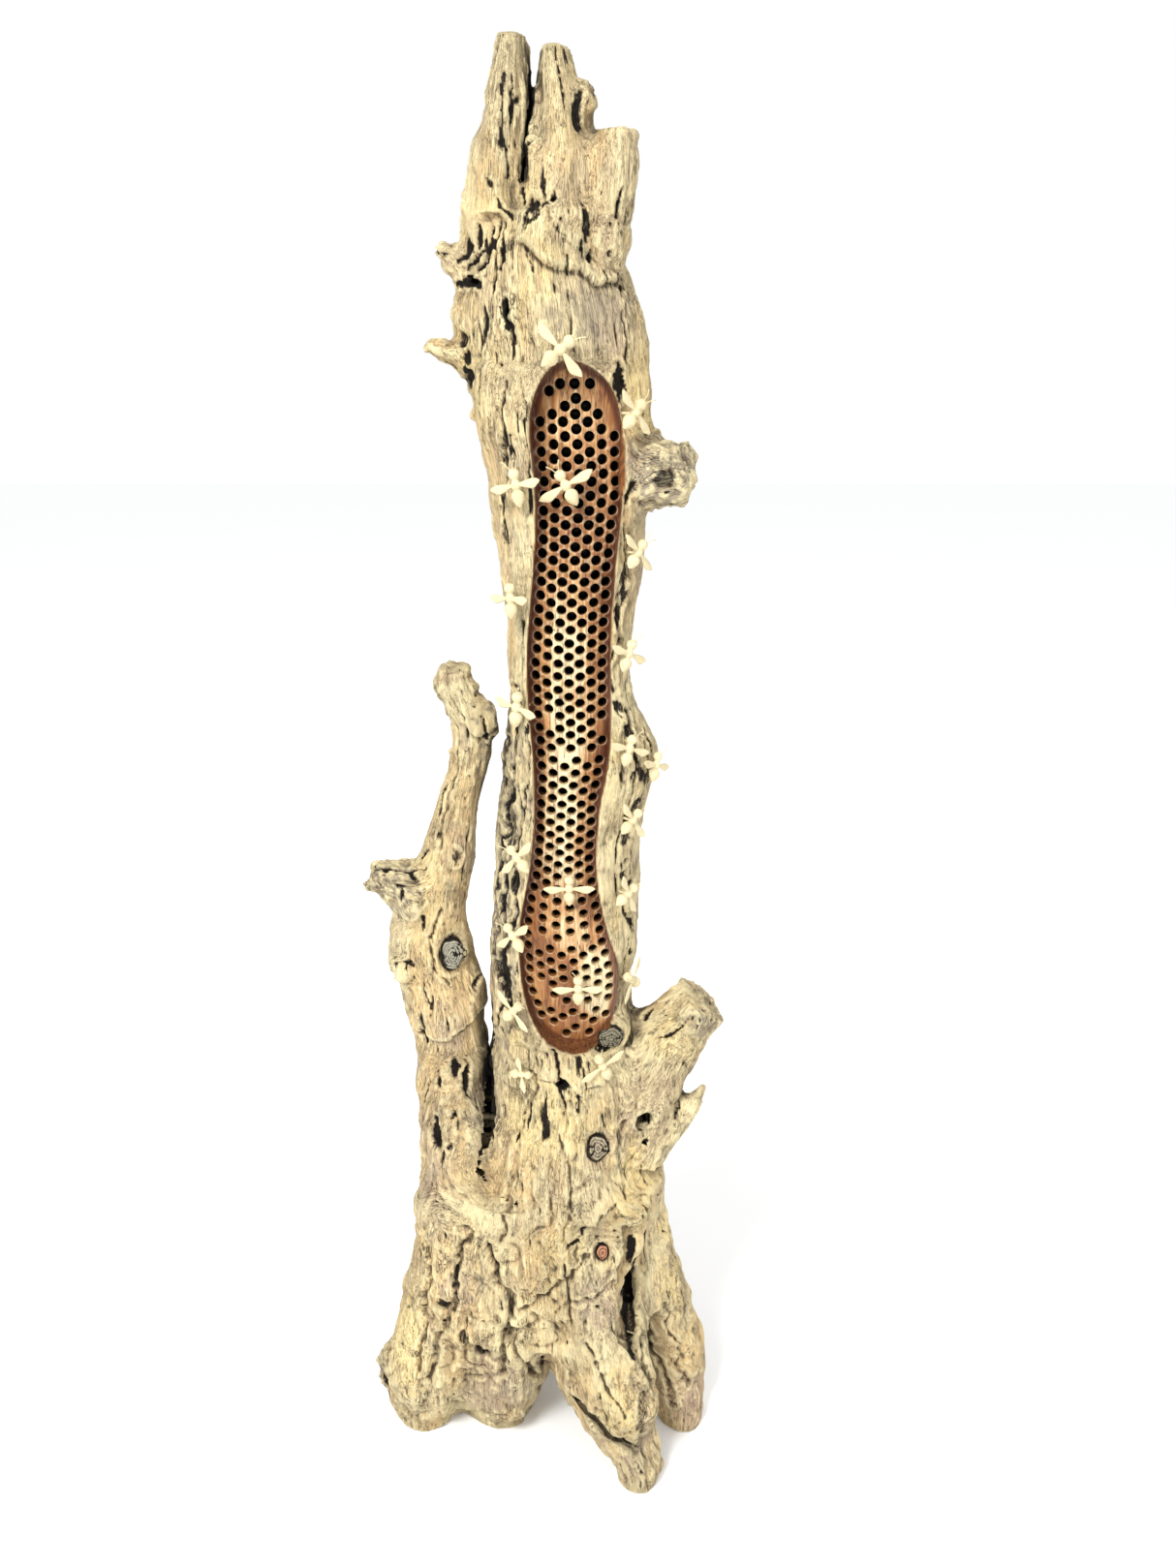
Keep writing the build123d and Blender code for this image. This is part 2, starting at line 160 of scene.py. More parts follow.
def join(start, stop, distance, reach, sign=1):
    """Adds wood to the field with a fillet, or with sign -1 takes it away with a rounded edge."""
    box = tuple(slice(a, b) for a, b in zip(start, stop))
    field[box] = sign * soft_min(sign * field[box], distance, reach)


def spindle(a, b, radius_a, radius_b, squeeze=(1, 1, 1)):
    """Distance to a tapered round bar from a to b, flattened along the axes whose squeeze is above 1."""
    a, b = np.array(a, float), np.array(b, float)
    reach = max(radius_a, radius_b) + BAND
    start, stop = region_of(np.minimum(a, b) - reach, np.maximum(a, b) + reach)
    grid = grid_points(start, stop)
    squeeze = np.array(squeeze, float)
    along = (b - a) * squeeze
    length = max(float(along @ along), 1e-6)
    offset = [(grid[k] - a[k]) * squeeze[k] for k in range(3)]
    share = sum(offset[k] * along[k] for k in range(3)) / length
    share = np.clip(share, 0, 1)
    squared = sum((offset[k] - share * along[k]) ** 2 for k in range(3))
    return start, stop, (np.sqrt(squared) - (radius_a + (radius_b - radius_a) * share)).astype(np.float32)


# (node, width of the fillet to the wood that is already there)
STEM_NODES = [("trunk", 1), ("side_limb", 8), ("limb_stub", 16), ("right_limb", 26), ("spike", 16),
              ("broken_knot", 20), ("upper_thorn", 12), ("lower_thorn", 12)]
BASE_NODES = [("root_crown", 1), ("left_root", 40), ("middle_root", 45), ("front_root", 30),
              ("rear_right_root", 26), ("rear_root", 30), ("heel_knob", 12)]
TOP_NODES = [("middle_prong", 1), ("right_stub", 18), ("top_knot", 8), ("left_prong", 1.5)]
BASE_FILLET = 26
TOP_FILLET = 14
KNOT_BED_FILLET = 8
# Masses that carry the flow of the wood across the CAD forks: (from, to, radius, radius, fillet)
FLOW = [
    ((-97, -8, 500), (-86, -24, 330), 32, 50, 26),
    ((34, -12, 520), (30, -8, 350), 60, 84, 30),
    ((88, -8, 470), (84, 0, 340), 30, 56, 30),
    ((112, -26, 440), (150, -26, 552), 34, 29, 22),
    ((40, -58, 320), (96, -92, 110), 46, 42, 30),
    ((-90, -26, 330), (-146, -14, 80), 42, 42, 34),
    ((-18, -48, 300), (-46, -18, 70), 46, 40, 34),
    ((-70, -20, 240), (-84, -12, 96), 50, 36, 34),
    ((100, 16, 330), (166, -2, 90), 42, 33, 24),
    ((10, 46, 330), (0, 92, 90), 52, 40, 30),
    ((-50, -14, 926), (-47, -14, 910), 14, 13, 10),
    ((-143, -18, 636), (-150, -18, 644), 14, 13, 10),
    ((88, -84, 300), (96, -80, 318), 22, 20, 16),
    ((78, -84, 330), (104, -66, 350), 18, 20, 20),
    ((34, -28, 1400), (36, -26, 1466), 27, 21, 8),
    ((3, -28, 1390), (3, -24, 1476), 24, 16, 8),
    ((28, -20, 1440), (27, -16, 1504), 18, 14, 6),
    ((46, -38, 1366), (48, -38, 1424), 25, 22, 10),
    ((70, -36, 1366), (74, -34, 1426), 25, 23, 10),
    ((-30, -22, 1366), (-24, -20, 1440), 28, 22, 12),
    ((20, -40, 1366), (18, -40, 1420), 25, 22, 10),
]
# Wood behind the dead knots, in place of their CAD pockets
KNOT_BEDS = [
    ((84, -46, 574), (84, -36, 574), 20), ((-90, -18, 657), (-90, -8, 657), 18),
    ((68, -68, 449), (68, -50, 449), 20), ((73, -78, 324), (73, -60, 324), 16),
]

for group, fillet in ((STEM_NODES, 0), (BASE_NODES, BASE_FILLET), (TOP_NODES, TOP_FILLET)):
    whole = field
    field = np.full(field_size, BAND, np.float32)
    for name, reach in group:
        join(*cad_field(name), reach)
    if fillet:
        field = soft_min(whole, field, fillet)
for a, b, radius_a, radius_b, reach in FLOW:
    join(*spindle(a, b, radius_a, radius_b), reach)
for a, b, radius in KNOT_BEDS:
    join(*spindle(a, b, radius, radius), KNOT_BED_FILLET)

# Slots, hollows, clefts and caves: (from, to, radius, radius, flattening, rounding)
CUTS = [
    ((10.6, -30, 1560), (10.4, -30, 1492), 2.8, 2.2, (1, 0.02, 1), 1),
    ((10, -48, 1512), (1, -60, 1412), 3.0, 2.4, (1, 0.08, 1), 1),
    ((50, -64, 1452), (84, -40, 1462), 3, 6, (1, 0.5, 1.0), 2),
    ((66, -62, 1478), (60, -58, 1480), 5, 4, (1, 1, 1), 2),
    ((118, -72, 468), (118, -40, 474), 12, 9, (1, 1, 1), 5),
    ((106, -104, 226), (104, -60, 250), 15, 10, (1, 1, 0.42), 8),
    ((-51, -84, 585), (-56, -88, 425), 8, 3.5, (1, 0.22, 1), 4),
    ((100, -92, 346), (100, -110, 228), 9, 10, (1, 1, 1), 6),
    ((101, -112, 228), (136, -104, 130), 8, 8, (1, 1.6, 1), 6),
    ((136, -104, 130), (170, -96, 62), 7, 6, (1, 1.6, 1), 6),
    ((44, -118, 130), (112, -138, 66), 4, 6, (1, 0.35, 1), 2),
    ((112, -142, 62), (134, -132, 74), 6, 4, (1, 0.4, 1), 2),
    ((-46, -60, 1333), (-44, -40, 1332), 7, 5, (1, 1, 1.3), 3),
    ((-13, -84, 1300), (-12, -60, 1306), 4.5, 3.5, (1, 1, 0.35), 3),
    ((29, -92, 531), (29, -76, 534), 6, 5, (1, 1, 1), 2),
]
for a, b, radius_a, radius_b, squeeze, reach in CUTS:
    join(*spindle(a, b, radius_a, radius_b, squeeze), reach, -1)

# the roots are cut level with the floor
heights = np.arange(field_size[2]) * VOXEL + field_low[2]
field = np.maximum(field, -heights.astype(np.float32)[None, None, :])


def polygons_of(values):
    """Quads of the zero surface of a field, as (points in mm, quads)."""
    grid = openvdb.FloatGrid(BAND)
    grid.copyFromArray(np.clip(values, -BAND, BAND), ijk=(0, 0, 0), tolerance=0.0)
    grid.transform = openvdb.createLinearTransform(voxelSize=1.0)
    points, quads = grid.convertToQuads(0.0)
    return np.asarray(points, np.float64) * VOXEL + field_low, np.asarray(quads, np.int64)


points, quads = polygons_of(field)


def normals_of(points, quads):
    """Unit normals at the points of a quad mesh."""
    diagonal_a = points[quads[:, 2]] - points[quads[:, 0]]
    diagonal_b = points[quads[:, 3]] - points[quads[:, 1]]
    across = np.cross(diagonal_a, diagonal_b)
    normals = np.zeros_like(points)
    for k in range(4):
        for axis in range(3):
            normals[:, axis] += np.bincount(quads[:, k], across[:, axis], len(points))
    return normals / np.maximum(np.linalg.norm(normals, axis=1, keepdims=True), 1e-9)


# ------------------------------------------------------------------------------------------------
# Grain: every node's wood has its own run, and the runs blend where nodes meet
# ------------------------------------------------------------------------------------------------
TIMBER = [name for group in (STEM_NODES, BASE_NODES, TOP_NODES) for name, _ in group]
# node: (node it grows from, height where it parts from it)
UPRIGHT = {
    "trunk": (None, 370), "root_crown": ("trunk", 370), "side_limb": ("root_crown", 370),
    "left_prong": ("trunk", 1385), "middle_prong": ("trunk", 1385), "right_stub": ("trunk", 1385),
    "front_root": ("root_crown", 190), "left_root": ("root_crown", 190),
    "middle_root": ("root_crown", 190), "rear_right_root": ("root_crown", 190),
    "rear_root": ("root_crown", 190),
}
# node: (node it grows from, middle of its base, middle of its tip)
GROWTHS = {
    "right_limb": ("trunk", (92, -18, 492), (184, -24, 600)),
    "spike": ("trunk", (122, -34, 408), (188, -42, 502)),
    "broken_knot": ("trunk", (94, -22, 1170), (156, -31, 1158)),
    "upper_thorn": ("trunk", (-50, -26, 1338), (-77, -33, 1360)),
    "lower_thorn": ("trunk", (-54, -24, 1266), (-92, -31, 1282)),
    "limb_stub": ("side_limb", (-124, -6, 716), (-180, -10, 744)),
    "heel_knob": ("left_root", (-172, 4, 62), (-205, 10, 56)),
    "top_knot": ("middle_prong", (44, -26, 1474), (76, -36, 1484)),
}


def sections_of(name):
    """Height, middle x and y, spread in x and y, and left and right side of a node at every level."""
    start, _, dense, _ = node_fields[name]
    x, y, z = grid_points(start, np.array(start) + dense.shape)
    inside = dense < 0
    rows = []
    for level in range(dense.shape[2]):
        columns, ranks = np.nonzero(inside[:, :, level])
        if len(columns) > 3:
            across, deep = x[columns, 0, 0], y[0, ranks, 0]
            rows.append((z[0, 0, level], across.mean(), deep.mean(), across.std(), deep.std(),
                         across.min(), across.max()))
    return np.array(rows).T


sections = {name: sections_of(name) for name in UPRIGHT}
SEAM_POINTS = 7


def across_node(name, height, share):
    """x at a share of a node's half width: -1 at its left side, 0 in its middle, 1 at its right side."""
    heights, *_, left, right = sections[name]
    left, right = np.interp(height, heights, left), np.interp(height, heights, right)
    return (left + right) / 2 + share * (right - left) / 2


def seam_line(name, top, bottom, start, end, bow):
    """A line down a node, from one share of its half width to another, bowed sideways between."""
    t = np.linspace(0, 1, SEAM_POINTS)
    height = top + (bottom - top) * t
    share = start + (end - start) * t + bow * np.sin(np.pi * t)
    return np.stack((across_node(name, height, share), height), 1)


def grain_of(name, places):
    """Grain coordinates in millimetres: two across the grain, then one along it."""
    if name in GROWTHS:
        parent, base, tip = GROWTHS[name]
        base = np.array(base, float)
        turn = Vector((0, 0, 1)).rotation_difference(Vector(tip) - Vector(base)).to_matrix()
        return grain_of(parent, base[None, :]) + (places - base) @ np.array(turn)
    parent, parting = UPRIGHT[name]
    heights, *rows = sections[name]
    here = [np.interp(places[:, 2], heights, row) for row in rows]
    there = [np.interp(parting, heights, row) for row in rows]
    moved = np.empty_like(places)
    for axis in range(2):
        scale = there[axis + 2] / here[axis + 2]
        moved[:, axis] = (places[:, axis] - here[axis]) * scale + there[axis]
    moved[:, 2] = parting
    if parent:
        moved = grain_of(parent, moved)
    moved[:, 2] = places[:, 2]
    return moved


def sample(start, dense, places):
    """A stored field's distances at places in millimetres, and BAND where it doesn't reach."""
    at = (places - field_low) / VOXEL - start
    base = np.floor(at).astype(int)
    inside = ((base >= 0) & (base < np.array(dense.shape) - 1)).all(1)
    part = at[inside] - base[inside]
    base = base[inside]
    found = np.full(len(places), BAND, np.float32)
    total = np.zeros(len(base))
    for step in np.array(CORNERS):
        weight = np.where(step, part, 1 - part).prod(1)
        total += weight * dense[tuple((base + step).T)]
    found[inside] = total
    return found


GRAIN_BLEND = 8
LEAST_SHARE = 0.01


def grain_and_owner(places):
    """Blended grain coordinates, and the index in TIMBER of the nearest node."""
    away = np.stack([sample(node_fields[name][0], node_fields[name][2], places) for name in TIMBER])
    owner = away.argmin(0)
    share = np.exp(-np.clip(away, -10, BAND) / GRAIN_BLEND)
    share /= share.sum(0)
    grain = np.zeros_like(places)
    for index, name in enumerate(TIMBER):
        near = share[index] > LEAST_SHARE
        grain[near] += share[index][near, None] * grain_of(name, places[near])
    heavy = np.where(share > LEAST_SHARE, share, 0).sum(0)
    return grain / heavy[:, None], owner


grain, owner = grain_and_owner(points)
normals = normals_of(points, quads)

# ------------------------------------------------------------------------------------------------
# The niche, seen from the front, as in the CAD
# ------------------------------------------------------------------------------------------------
NICHE = [
    (45, 1264), (76, 1244), (88, 1205), (90, 1160), (82, 1080), (78, 1000), (78, 900), (68, 840),
    (65, 770), (76, 702), (87, 655), (86, 612), (77, 581), (52, 567), (24, 573), (3, 592),
    (-12, 636), (-14, 704),
    (-1, 780), (4, 870), (-2, 980), (6, 1080), (9, 1150), (5, 1215), (20, 1254),
]
# (height, middle, half width, front of the middle, front of the sides) of the barrel-shaped nest face
NEST_FACE = np.array([
    (560, 36, 56, -62, -44),
    (655, 42, 56, -68, -50),
    (760, 32, 52, -57, -38),
    (900, 40, 52, -56, -36),
    (1050, 41, 54, -58, -38),
    (1200, 47, 54, -57, -38),
    (1270, 46, 54, -52, -36),
], float)


def smooth_loop(corners, parts):
    """A closed curve through the corners, parts points to a side."""
    corners = np.array(corners, float)
    a, b, c, d = (np.roll(corners, shift, 0)[:, None, :] for shift in (1, 0, -1, -2))
    t = (np.arange(parts) / parts)[None, :, None]
    curve = 0.5 * (2 * b + (c - a) * t + (2 * a - 5 * b + 4 * c - d) * t ** 2
                   + (3 * b - a - 3 * c + d) * t ** 3)
    return curve.reshape(-1, 2)


def beyond(loop, spots):
    """Distance in the plane from a closed outline, negative inside it."""
    ends = np.roll(loop, -1, 0)
    nearest = np.full(len(spots), 1e9)
    inside = np.zeros(len(spots), bool)
    for (x1, z1), (x2, z2) in zip(loop, ends):
        side = np.array((x2 - x1, z2 - z1))
        share = np.clip(((spots - (x1, z1)) @ side) / (side @ side), 0, 1)
        away = ((spots - (x1, z1) - share[:, None] * side) ** 2).sum(1)
        nearest = np.minimum(nearest, away)
        if z1 != z2:
            crossing = x1 + (x2 - x1) * (spots[:, 1] - z1) / (z2 - z1)
            inside ^= ((z1 > spots[:, 1]) != (z2 > spots[:, 1])) & (spots[:, 0] < crossing)
    return np.where(inside, -1, 1) * np.sqrt(nearest)


NICHE_FRONT = -12             # only wood in front of this y can be at the niche
FREE_EDGE = 5.0               # wood weathers freely from this far outside the niche
FAR = 99.0                    # stands for a distance that isn't worked out
niche_loop = smooth_loop(NICHE, 5)
frontal_spots = points[:, [0, 2]]
near_niche = (np.abs(frontal_spots - (niche_loop.max(0) + niche_loop.min(0)) / 2)
              < np.ptp(niche_loop, 0) / 2 + FREE_EDGE).all(1) & (points[:, 1] < NICHE_FRONT)
niche_away = np.full(len(points), FAR)
niche_away[near_niche] = beyond(niche_loop, frontal_spots[near_niche])
# routed is 1 on the wall of the niche, and free is 0 there and 1 on wood that weathers freely
routed = ramp(niche_away, 1.6, 0.4)
free = ramp(niche_away, 0.6, FREE_EDGE)

# ------------------------------------------------------------------------------------------------
# Weathering of the outer surface
# ------------------------------------------------------------------------------------------------


def stretched(across, along, seed):
    """Noise that runs with the grain: cells across wide and along long, in millimetres."""
    return noise(grain / np.array((across, across, along)), seed)


def warped(across, along, seed, sway):
    """Stretched noise whose lines wander sideways by about sway millimetres."""
    moved = grain.copy()
    moved[:, 0] += sway * noise(points / 22, seed + 50)
    moved[:, 1] += sway * noise(points / 22, seed + 51)
    return noise(moved / np.array((across, across, along)), seed)


# Knots on the front: (node, x, z, half width, half height)
KNOTS = [
    ("nest_dead_knot", 82, 574, 15, 12), ("limb_dead_knot", -90, 657, 11.5, 18),
    ("crown_dead_knot", 68, 449, 11, 16), ("knot_plug", 73, 324, 6.5, 10),
]
# Pits on the front, by node: (height, share of its half width, half width, half height, depth, darkness of
# the painted shade in it)
PITS = {
    "trunk": [
        (1408, 0.0, 3, 14, 4, 0.9), (1391, -0.55, 3, 8, 4, 0.8), (1388, -0.1, 4, 10, 4, 0.8),
        (1367, -0.75, 3, 12, 5, 0.9), (1361, -0.9, 3, 12, 5, 0.9), (1349, 0.55, 5, 5, 3, 0.8),
        (1331, -0.8, 15, 7, 4, 1.0), (1326, 0.85, 3, 8, 4, 0.9), (1303, -0.4, 6, 16, 3, 1.0),
        (1285, -0.9, 7, 8, 4, 0.8), (1266, -0.9, 5, 8, 4, 0.9), (1250, -0.95, 7, 16, 4, 0.9),
        (1246, 0.65, 7, 18, 4, 0.9), (1162, 1.2, 12, 12, 5, 0.7), (900, 0.6, 4, 50, 3, 0.6),
        (812, -0.8, 6, 60, 3, 0.6), (812, 0.8, 5, 26, 4, 0.8), (700, -0.8, 5, 30, 3, 0.6),
        (640, -0.8, 7, 46, 3, 0.8), (548, -1.05, 7, 24, 4, 1.0), (531, 0.0, 7, 8, 3, 1.0),
        (470, -1.0, 6, 50, 4, 0.9),
    ],
    "side_limb": [
        (772, 0.4, 5, 10, 3, 0.7), (560, -0.6, 9, 5, 4, 0.8), (522, 0.2, 5, 16, 5, 1.0),
        (508, 0.55, 4, 20, 6, 1.0), (505, -0.3, 4, 8, 5, 1.0), (440, -0.6, 7, 26, 6, 1.0),
    ],
    "root_crown": [
        (318, 0.75, 8, 24, 5, 1.0), (262, -0.75, 5, 24, 4, 0.7), (252, -0.25, 8, 20, 4, 0.6),
        (250, 0.75, 9, 34, 6, 1.0), (226, -0.8, 8, 9, 3, 0.8), (190, -0.6, 7, 16, 4, 0.7),
        (160, -0.45, 9, 9, 4, 0.8), (118, 0.8, 8, 40, 3, 0.6),
    ],
    "left_root": [(66, -1.2, 8, 14, 4, 0.9)],
}
# Round growths on the front, (x, z, half width, half height, height)
BOSSES = [
    (-82, 772, 12, 20, 3), (82, 574, 25, 22, 2), (-90, 657, 22, 28, 2), (68, 449, 24, 30, 4),
    (110, 362, 20, 16, 7), (-146, 640, 16, 16, 3), (-62, 612, 15, 14, 4), (-143, 636, 15, 15, 5),
    (20, 246, 30, 16, 5), (-20, 524, 30, 14, 4), (84, 1246, 15, 26, 2), (-13, 1303, 12, 24, 3),
    (42, 522, 22, 14, 5), (-45, 1332, 18, 12, 3), (78, 324, 26, 24, 5), (-60, 205, 24, 30, 5),
    (100, 520, 16, 40, 4), (10, 1440, 8, 10, 2), (-66, 300, 18, 40, 4),
]
# Ragged lower edges of the outer layer: (node, shares of its half width at the left and right end,
# heights there, sag between them, thickness, reach upward)
LEDGES = [
    ("trunk", -0.2, 0.85, 1354, 1333, 6, 7.5, 60),
    ("trunk", 0.05, 0.7, 1388, 1392, 34, 3.0, 50),
    ("side_limb", -0.8, 1.05, 566, 585, 18, 6.0, 50),
    ("trunk", -0.7, 0.5, 554, 530, 12, 4.0, 40),
    ("root_crown", 0.4, 0.75, 360, 357, -16, 5.0, 24),
    ("side_limb", -0.2, 1.3, 916, 914, 15, 4.0, 30),
]
# Folds and seams on the front, by node: (height at the top and bottom, share of its half width there,
# bow, half width, depth, darkness of the painted shade in it)
SEAMS = {
    "root_crown": [
        (345, 110, -0.7, -0.9, 0.05, 5, 6, 0.5), (326, 134, -0.5, -0.3, 0.15, 6, 8, 0.6),
        (221, 121, -0.2, -0.05, 0, 7, 8, 0.5), (325, 243, 0.4, -0.2, 0.05, 5, 5, 0.25),
        (284, 252, 0.6, 0.15, 0.05, 4, 4, 0.25), (300, 120, -1.05, -1.0, 0.1, 5, 6, 0.4),
        (470, 330, 0.15, 0.15, 0.05, 4, 4, 0.4), (470, 330, -0.2, -0.4, 0, 4, 4, 0.4),
        (470, 380, 0.7, 0.7, -0.05, 4, 4, 0.5),
    ],
    "rear_right_root": [(200, 40, -0.15, -0.15, 0, 5, 5, 0.5), (196, 70, 1.0, 0.4, 0, 4, 4, 0.5)],
    "front_root": [
        (210, 120, 0.1, 0.55, 0, 4, 5, 0.5), (130, 66, -0.5, 0.5, -0.1, 4, 4, 1.0),
        (76, 66, 1.1, 0.5, 0, 4, 4, 1.0),
    ],
    "left_prong": [(1478, 1412, 0.4, 0.4, -0.1, 2.4, 4, 1.0)],
    "trunk": [
        (1414, 1334, -0.2, -0.1, 0, 2.5, 4, 0.8), (1409, 1383, -0.7, -0.35, 0.05, 2.5, 4, 0.8),
        (1401, 1376, 0.0, -0.1, 0.05, 2.5, 3, 0.8), (1361, 1184, -0.3, -0.4, 0, 2.5, 3, 0.6),
        (1240, 1090, -0.6, -0.9, 0, 2.5, 4, 0.7), (1106, 826, 0.7, 0.8, 0, 3, 4, 0.8),
        (1090, 905, 0.8, 0.7, 0, 2.5, 4, 0.8), (962, 715, -0.9, -0.8, 0, 3, 5, 0.9),
        (930, 640, -0.7, -0.75, 0.05, 2.5, 4, 0.8), (900, 770, -1.0, -0.9, 0, 2.5, 4, 0.7),
        (900, 800, 0.9, 0.95, -0.1, 3, 4, 0.7), (812, 598, -0.9, -0.85, -0.05, 4, 4, 0.7),
        (780, 660, 0.8, 0.9, 0, 2.5, 4, 0.8), (660, 570, -0.85, -0.9, 0, 3, 4, 0.8),
        (590, 480, -0.25, -0.55, 0.05, 3, 3, 0.4),
    ],
    "side_limb": [(876, 780, -0.5, -0.3, -0.1, 3, 4, 0.6), (713, 621, 0.25, 0.3, -0.2, 3, 4, 0.6)],
}
# Short cracks fanned over the left shoulder: shares of the trunk's half width at their tops
SHOULDER_CRACKS = (-0.8, -0.65, -0.5, -0.35)
# Scars where side shoots broke off: (x, z, radius)
RING_SCARS = [(-62, 612, 10), (-143, 638, 12)]
# Greyer weathering, (x, z, half width, half height, strength), on the front
GREYS = [
    (140, 1160, 34, 40, 1.0), (186, 590, 34, 34, 0.9), (-34, 790, 24, 260, 1.0), (56, 1306, 44, 26, 0.7),
    (-60, 930, 40, 50, 0.4), (-92, 480, 40, 60, 0.6), (-30, 110, 60, 60, 0.5), (50, 290, 40, 50, 0.5),
    (100, 880, 22, 120, 0.5), (118, 60, 26, 40, 0.5), (-64, 270, 40, 60, 0.5), (-54, 490, 14, 90, 0.8),
]
# Clefts painted dark with shade all the way in, (points, half width)
CLEFTS = [
    ([(-52, 596), (-54, 540), (-57, 480), (-60, 424), (-60, 396)], 9),
    ([(10, 1508), (6, 1460), (1, 1414)], 4),
    ([(98, 350), (104, 300), (101, 228), (112, 188)], 11),
]
# Warmer (above 0) and more mauve (below 0) patches of colour, (x, z, half width, half height, strength)
TINTS = [
    (30, 490, 60, 60, 0.9), (112, 385, 36, 50, 0.8), (-160, 150, 26, 80, 0.9), (160, 240, 26, 80, 0.7),
    (-52, 1240, 20, 90, 0.7), (108, 1230, 18, 70, 0.6), (-100, 740, 30, 70, 0.5), (92, 110, 34, 60, 0.6),
    (-20, 1400, 40, 40, 0.5), (150, 560, 40, 40, 0.5), (20, 300, 30, 60, 0.6), (-95, 560, 30, 40, -0.6),
    (-50, 130, 44, 80, -1.0), (-84, 250, 30, 60, -0.7), (62, 262, 34, 34, -0.8), (56, 1300, 40, 40, -0.8),
    (104, 330, 30, 34, -0.7), (70, 1400, 30, 50, -0.5), (-118, 420, 20, 60, -0.5), (120, 640, 20, 80, -0.4),
]


LOW_WOOD = (640, 320)         # folds deepen from the first height down to the second
LIMB_TOP = (845, 870)         # the side limb's broken top fades in between these heights
LIMB_SIDE = -52               # the side limb is left of this x
RIGHT_LIMB_END = (180, 595)   # (x, z) of the right limb's broken end
SAWN_ABOVE = 1400             # level ends above this height are sawn


def line_away(corners, spots):
    """Distance in the plane from an open line."""
    nearest = np.full(len(spots), 1e9)
    for start, end in zip(corners, corners[1:]):
        start, side = np.array(start, float), np.subtract(end, start).astype(float)
        share = np.clip(((spots - start) @ side) / (side @ side), 0, 1)
        nearest = np.minimum(nearest, ((spots - start - share[:, None] * side) ** 2).sum(1))
    return np.sqrt(nearest)


def oval_away(x, z, wide=1.0, high=1.0):
    """Distance of the points from (x, z) as seen from the front, as a share of the half width and height."""
    return np.hypot((points[:, 0] - x) / wide, (points[:, 2] - z) / high)


def owned_by(*names):
    """True at the points of these nodes."""
    return np.isin(owner, [TIMBER.index(name) for name in names])


def sideways(cell, seed):
    """Two noises, to move a place to the side and upward."""
    return np.stack((noise(points / cell, seed), noise(points / cell, seed + 1)), 1)


front = ramp(normals[:, 1], 0.25, -0.3)
low = ramp(points[:, 2], *LOW_WOOD)
broken = owned_by("limb_stub", "broken_knot", "heel_knob")
limb_top = ramp(points[:, 2], *LIMB_TOP) * (points[:, 0] < LIMB_SIDE)
ends = broken + 0.8 * limb_top + 0.6 * ramp(oval_away(*RIGHT_LIMB_END), 46, 26)

# broad swellings with sharp valleys between them, strongest near the roots
lift = 3.0 * noise(points / 46, 1) + 1.3 * noise(points / 20, 2)
for across, along, seed, sway, height, more, crest in ((34, 150, 3, 20, 3.0, 8.0, 0.42),
                                                       (16, 80, 34, 12, 1.6, 3.0, 0.45)):
    fold = np.abs(warped(across, along, seed, sway))
    lift += (height + more * low) * (np.minimum(fold, crest) - 0.2)
for across, along, seed, sway, height, level in ((8, 70, 4, 6, 1.4, 0.3), (4.6, 46, 5, 4, 0.9, 0.25)):
    lift += height * (level - np.abs(warped(across, along, seed, sway)))
lift += 0.25 * noise(points / 4.2, 6)
lift += ends * (5.0 * noise(points / 11, 37) + 3.0 * np.abs(noise(points / 6, 38)) - 1.0)

# flakes: the outer layer is lost in patches, with sharp edges
flakes = warped(30, 110, 7, 12) + 0.4 * stretched(8, 22, 8)
lift += 1.8 * ramp(flakes, 0.06, 0.12)
thin_flakes = warped(13, 46, 9, 7) + 0.45 * stretched(4.5, 14, 10)
lift += 0.8 * ramp(thin_flakes, 0.12, 0.18)

# checks: long spindle-shaped cracks along the grain
crack = np.zeros(len(points))
for across, along, seed, sway, level, depth in ((6, 80, 11, 4, 0.60, 3.5), (4, 44, 12, 3, 0.64, 2.5),
                                                (9, 130, 13, 6, 0.66, 4.5)):
    level = level + (0.08 + 0.012 * across) * low
    check = ramp(warped(across, along, seed, sway), level, level + 0.12)
    lift -= depth * check
    crack = np.maximum(crack, check)

# pits, growths, seams, ledges and the seats of the knots; what is deep is painted dark as painted shade
painted_shade = np.zeros(len(points))
edge_noise = 0.35 * noise(points / 7, 30) + 0.2 * noise(points / 3.4, 31)
for name, rows in PITS.items():
    for z, share, wide, high, depth, dark in rows:
        away = oval_away(across_node(name, z, share), z, wide, high) + edge_noise
        hit = ramp(away, 1.05, 0.6) * front
        lift -= depth * hit
        painted_shade = np.maximum(painted_shade, dark * hit)
for x, z, wide, high, height in BOSSES:
    away = oval_away(x, z, wide, high)
    swell = ramp(away, 1.0, 0.3) * front
    rings = np.cos(away * wide * 1.5) * ramp(away, 1.25, 0.8) * front
    lift += height * swell + 0.8 * rings
wander = 2.5 * noise(points / 8, 35)
swayed = frontal_spots + 7 * sideways(26, 43)
swayed += 2.5 * sideways(9, 45)
seams = [(name, *row) for name, rows in SEAMS.items() for row in rows]
seams += [("trunk", 1364, 1342, share, share - 0.15, 0, 2.2, 4, 1.0) for share in SHOULDER_CRACKS]
lines = [(line_away(seam_line(*run), swayed), wide, depth, dark) for *run, wide, depth, dark in seams]
lines += [(np.abs(oval_away(x, z) - radius), 2.5, 3, 0.8) for x, z, radius in RING_SCARS]
# seams and scars are grooves with painted shade in them
for away, wide, depth, dark in lines:
    away = away + wander
    hit = ramp(away, wide, 0.3 * wide) * front
    lift -= depth * hit - 0.3 * depth * ramp(away, 3 * wide, wide) * front
    painted_shade = np.maximum(painted_shade, dark * hit * hit)
